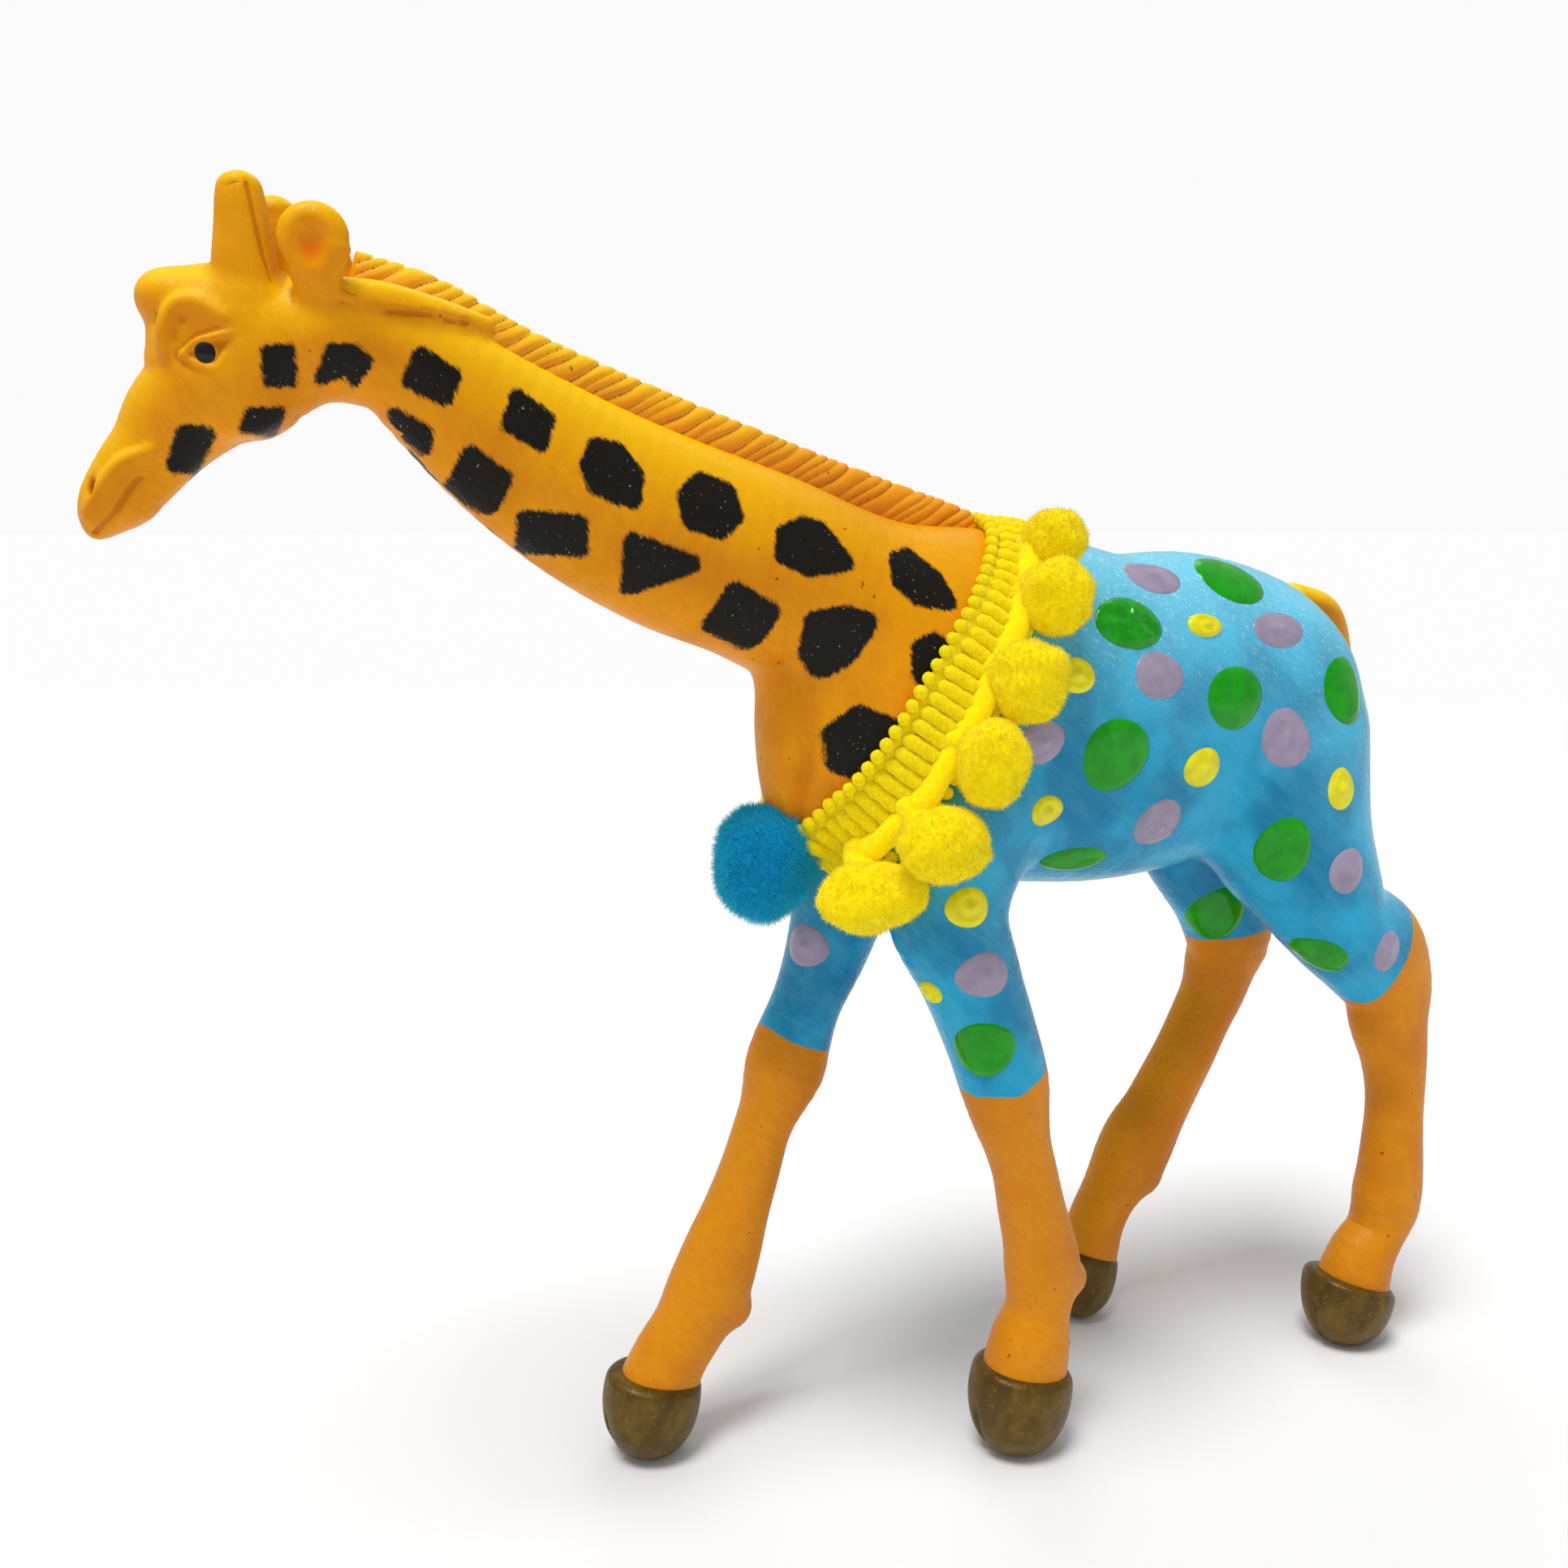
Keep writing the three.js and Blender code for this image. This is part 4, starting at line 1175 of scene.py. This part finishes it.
def rib_solid(tree, frame_at):
    """One rib of yarn across the braid."""
    middle, along, across, outward, narrow = frame_at
    half = RIB_HALF * narrow * random.uniform(0.95, 1.04)
    lean = random.uniform(-0.06, 0.06)
    path, radii = [], []
    for share in (-1 + 2 * step / (RIB_RINGS - 1) for step in range(RIB_RINGS)):
        spot = middle + across * (share * half - 0.15) + along * (lean * share * half)
        path.append(rest_on(tree, spot, middle, outward) + outward * RIB_LIFT)
        thick = RIB_RADIUS * (0.3 + 0.7 * math.sqrt(max(1 - abs(share) ** 5, 0.0)))
        radii.append((thick * 0.96, thick))
    phase = random.uniform(0, math.tau)
    return tube(
        path, radii, RIB_SPOKES, along,
        lambda index, turn: 0.07 * math.sin(3 * turn + 1.1 * index + phase)
        + 0.035 * math.sin(8 * turn - 2.1 * index),
    )


def bead_solid(tree, frame_at, end):
    """One scallop of the braid's edge: a turn of yarn, as a lumpy ball."""
    middle, along, across, outward, narrow = frame_at
    spot = rest_on(tree, middle + across * (end * BEAD_REACH * narrow), middle, outward)
    centre = spot + outward * (BEAD_LIFT + random.uniform(-0.08, 0.08))
    size = random.uniform(0.92, 1.05)
    turns = np.linspace(-1.35, 1.35, 9)
    path = [centre + across * (size * 0.95 * math.sin(turn)) for turn in turns]
    radii = [(size * 0.9 * math.cos(turn), size * 0.85 * math.cos(turn)) for turn in turns]
    return tube(path, radii, 12, along, lambda index, turn: 0.06 * math.sin(3 * turn + 1.7 * index))


def make_braid(tree):
    """The collar's braid; returns spots on its middle line."""
    at, length = ring_sampler(collar_ring(tree))
    count = round(length / BRAID_PITCH)
    solids = []
    for rib in range(count):
        distance = length * rib / count
        solids.append(rib_solid(tree, braid_frame(at, distance)))
        for end, shift in ((1, 0.15), (-1, BRAID_PITCH / 2)):
            solids.append(bead_solid(tree, braid_frame(at, distance + shift), end))
    for offset, lift in GROUND_CORDS:
        solids.append(ring_cord(tree, at, length, offset, lift))
    points, faces = join_solids(solids)
    ribs = bmesh.new()
    made = [ribs.verts.new(point) for point in points]
    for face in faces:
        ribs.faces.new([made[corner] for corner in face])
    bmesh.ops.triangulate(ribs, faces=ribs.faces)
    fuzz = fibres(ribs, *BRAID_FUZZ, np.random.default_rng(SEED + 90))
    ribs.free()
    points, faces = join_solids([(points, faces), fuzz])
    mesh_piece("braid_ribs", points, faces, "braid_yarn", ["collar_braid"], BRAID_YARN)
    return np.array([at(length * share) for share in np.linspace(0, 1, RING_SPOTS, endpoint=False)])


def ring_cord(tree, at, length, offset, lift):
    """A flat ground cord that the ribs are woven over, running right round."""
    points, faces = [], []
    wide, deep = CORD_SIZE
    for index in range(CORD_RINGS):
        middle, _, across, outward, narrow = braid_frame(at, length * index / CORD_RINGS)
        centre = rest_on(tree, middle + across * (offset * narrow), middle, outward) + outward * lift
        for spoke in range(CORD_SPOKES):
            turn = math.tau * spoke / CORD_SPOKES
            points.append(centre + across * (wide * math.cos(turn)) + outward * (deep * math.sin(turn)))
        following = (index + 1) % CORD_RINGS
        faces += ring_faces(index * CORD_SPOKES, following * CORD_SPOKES, CORD_SPOKES)
    return points, faces


# ---- pompoms

# Centre and radii of each pompom on the left side; the right side mirrors them.
LEFT_POMS = [
    ((11.8, -5.4, 131.0), (4.6, 3.9, 3.9)), ((17.4, -8.8, 123.8), (4.9, 4.9, 4.9)),
    ((20.6, -15.4, 113.5), (4.6, 5.2, 5.2)), ((20.6, -20.7, 103.3), (4.5, 4.7, 6.1)),
    ((19.4, -26.9, 93.2), (4.5, 6.2, 4.6)), ((13.4, -33.6, 85.9), (4.7, 7.4, 4.6)),
]
CHEST_POM = ((0.2, -42.4, 88.8), (6.2, 6.3, 7.2))
# First and last radius of the felt from the braid to a ball, and of the felt between two balls.
BRIDGE_RADII = (1.5, 3.4)
WEB_RADII = (1.8, 1.9)


def pom_core(centre, radii, lumps, seed):
    mesh = bmesh.new()
    bmesh.ops.create_icosphere(mesh, subdivisions=5, radius=1)
    offset = Vector((seed * 3.7, seed * 1.9, seed * 5.3))
    for vert in mesh.verts:
        out = vert.co.normalized()
        swell = 1 + lumps * noise.noise(out * 1.15 + offset) + 0.4 * lumps * noise.noise(out * 3.0 + offset)
        vert.co = Vector([centre[k] + out[k] * radii[k] * swell for k in range(3)])
    return mesh


def fibres(mesh, count, length, width, spread, generator):
    """Short closed spikes of fibre rooted just under the surface of a mesh."""
    mesh.normal_update()
    triangles = np.array([[tuple(v.co) for v in face.verts] for face in mesh.faces])
    sides = np.cross(triangles[:, 1] - triangles[:, 0], triangles[:, 2] - triangles[:, 0])
    areas = np.linalg.norm(sides, axis=1)
    pick = generator.choice(len(triangles), count, p=areas / areas.sum())
    weights = generator.dirichlet((1, 1, 1), count)
    roots = np.einsum("ij,ijk->ik", weights, triangles[pick])
    normals = sides[pick] / areas[pick, None]
    heading = normals + spread * generator.normal(size=(count, 3))
    heading /= np.linalg.norm(heading, axis=1)[:, None]
    outward = np.einsum("ij,ij->i", heading, normals)
    heading += normals * np.maximum(0.15 - outward, 0)[:, None]
    long = length * generator.uniform(0.5, 1.15, count)[:, None]
    side = np.cross(heading, generator.normal(size=(count, 3)))
    side /= np.linalg.norm(side, axis=1)[:, None]
    other = np.cross(heading, side)
    roots = roots - normals * 0.12
    corners = [roots + width * (side * math.cos(t) + other * math.sin(t)) for t in (0, 2.1, 4.2)]
    points = np.stack([*corners, roots + heading * long], axis=1).reshape(-1, 3)
    base = 4 * np.arange(count)[:, None]
    faces = np.concatenate([base + np.array(f) for f in ((0, 2, 1), (0, 1, 3), (1, 2, 3), (2, 0, 3))])
    return points.tolist(), faces.tolist()


def make_pom(name, node, centre, radii, lumps, seed, fuzz, slot, material, links=()):
    """A felt ball; each link is the start, end, first and last radius of a felt bridge that joins it."""
    core = pom_core(centre, radii, lumps, seed)
    fluff = fibres(core, *fuzz, np.random.default_rng(SEED + seed))
    core_points = [tuple(v.co) for v in core.verts]
    core_faces = [tuple(v.index for v in face.verts) for face in core.faces]
    core.free()
    solids = [(core_points, core_faces), fluff]
    for start, end, thin, thick in links:
        shares = np.linspace(0, 1, 12)
        path = [start + (end - start) * share for share in shares]
        widths = [thin + (thick - thin) * share for share in shares]
        widths[0] *= 0.6
        solids.append(tube(
            path, [(w, w * 0.9) for w in widths], 18, np.array([0.3, 0.5, 0.8]),
            lambda index, turn: 0.1 * math.sin(2 * turn + 0.9 * index + seed),
        ))
    mesh_piece(name, *join_solids(solids), slot, [node], material)


# ---- build

# Low corner, high corner and step of each grid; the head's is finer.
BODY_GRID = ((-24, -104, 4), (24, 76, 166), 0.5)
HEAD_GRID = ((-20, -126, 128), (12, -88, 172), 0.25)
# Each pupil: place to the left and right of the face, and its width, height and rise.
PUPIL_PLACE = (8, 12.2, 150.6)
PUPIL_SIZE = (2.2, 2.35, 0.22)


def sculpt(grid):
    """The figure's field on a grid, its skin, and how the skin bends."""
    field = Field(*grid)
    sculpt_body(field)
    sculpt_head(field)
    return field, skin_of(field), laplacian(field)


def tree_of(sculpted):
    points, quads = sculpted[1]
    return BVHTree.FromPolygons(points.tolist(), quads.tolist())


def make_skin(body, head):
    above_legs = (UP * LEG_TOP_Z, -UP)
    skin_piece(
        "torso_skin", body, [(COLLAR_CENTRE, COLLAR_AXIS), above_legs], "blue_paint", ["torso"], SUIT
    )
    neck_planes = [(COLLAR_CENTRE, -COLLAR_AXIS), (HEAD_SEAM, HEAD_SEAM_AXIS), above_legs]
    skin_piece("neck_skin", body, neck_planes, "orange_paint", ["neck"], ORANGE)
    head_nodes = ["head", "horn_left", "horn_right", "ear_left", "ear_right"]
    skin_piece("head_skin", head, [(HEAD_SEAM, -HEAD_SEAM_AXIS)], "orange_paint", head_nodes, ORANGE)
    for corner in LEGS:
        inward = np.array([-1 if corner.endswith("left") else 1, 0, 0])
        to_middle = np.array([0, 1 if corner.startswith("front") else -1, 0])
        planes = [
            (UP * LEG_TOP_Z, UP), (UP * LEG_FOOT_Z, -UP),
            (np.zeros(3), inward), (np.array([0, LEG_SPLIT_Y, 0]), to_middle),
        ]
        skin_piece(f"leg_{corner}_skin", body, planes, "orange_paint", [f"leg_{corner}"], SUIT)


def make_dots(tree, colour, paint):
    drops = []
    for x, y, z, width, height in DOTS[colour]:
        # The green dots close behind the collar's top are wrinkled.
        wrinkle = 1.0 if colour == "green" and 3 < y < 8 and z > 110 else 0.05
        drops.append(dome(tree, (x, y, z), width, height, DOT_RISE, *DOT_EXTRAS[colour], wrinkle))
    mesh_piece(f"dots_{colour}", *join_solids(drops), "blue_paint", [], paint)


def make_pupils(tree):
    left, forward, up = PUPIL_PLACE
    pupils = [dome(tree, head_point(left * side, forward, up), *PUPIL_SIZE) for side in (1, -1)]
    mesh_piece("eye_pupils", *join_solids(pupils), "orange_paint", [], EYE_BLACK)


def make_collar_poms(ring_spots, toward, side_name):
    """One side's pompoms, each bridged to the braid and to the next one."""
    centres = [np.array([x * toward, y, z]) for (x, y, z), _ in LEFT_POMS]
    nearest = [ring_spots[np.linalg.norm(ring_spots - centre, axis=1).argmin()] for centre in centres]
    roots = [spot + 0.42 * (centre - spot) for spot, centre in zip(nearest, centres)]
    for index, (centre, (_, radii)) in enumerate(zip(centres, LEFT_POMS)):
        links = [(nearest[index] + 0.12 * (centre - nearest[index]), centre, *BRIDGE_RADII)]
        if index + 1 < len(centres):
            links.append((roots[index + 1], roots[index], *WEB_RADII))
        node = f"pom_{side_name}_{index + 1}"
        seed = index + 1 + (10 if toward < 0 else 0)
        make_pom(f"{node}_felt", node, centre, radii, 0.16, seed, POM_FUZZ, "pom_yarn", POM_YARN, links)


make_camera()
make_stage()

ORANGE = orange_material()
SUIT = suit_material()
MANE_PAINT = mane_material()
BRONZE = hoof_material()
body_sculpt = sculpt(BODY_GRID)
head_sculpt = sculpt(HEAD_GRID)
make_skin(body_sculpt, head_sculpt)
make_mane()
make_tail()
for corner in HOOVES:
    make_hoof(corner)

body_tree = tree_of(body_sculpt)
head_tree = tree_of(head_sculpt)
random.seed(SEED)
LILAC = gloss_material("dot_lilac", rgb(160, 148, 172), rgb(148, 136, 160), 0.2)
GREEN = gloss_material("dot_green", rgb(12, 160, 0), rgb(4, 142, 0))
YELLOW = gloss_material("dot_yellow", rgb(242, 234, 0), rgb(222, 210, 0))
for colour, paint in (("lilac", LILAC), ("green", GREEN), ("yellow", YELLOW)):
    make_dots(body_tree, colour, paint)

EYE_BLACK = gloss_material("eye_black", rgb(16, 14, 14), rgb(8, 8, 8), 0.12)
make_pupils(head_tree)

BRAID_YARN = yarn_material("braid_yarn", rgb(255, 240, 0), rgb(240, 204, 0), 2600.0, 0.08, 0.09)
POM_YARN = yarn_material("pom_yarn", rgb(255, 238, 0), rgb(255, 218, 0), 1500.0, 0.08, 0.1)
CHEST_YARN = yarn_material("chest_yarn", rgb(18, 200, 246), rgb(2, 154, 214), 1500.0, 0.05, 0.07)
random.seed(SEED + 1)
braid_spots = make_braid(body_tree)
make_collar_poms(braid_spots, 1, "left")
make_collar_poms(braid_spots, -1, "right")
make_pom("chest_pom_fluff", "chest_pom", *CHEST_POM, 0.14, 31, CHEST_FUZZ, "chest_yarn", CHEST_YARN)
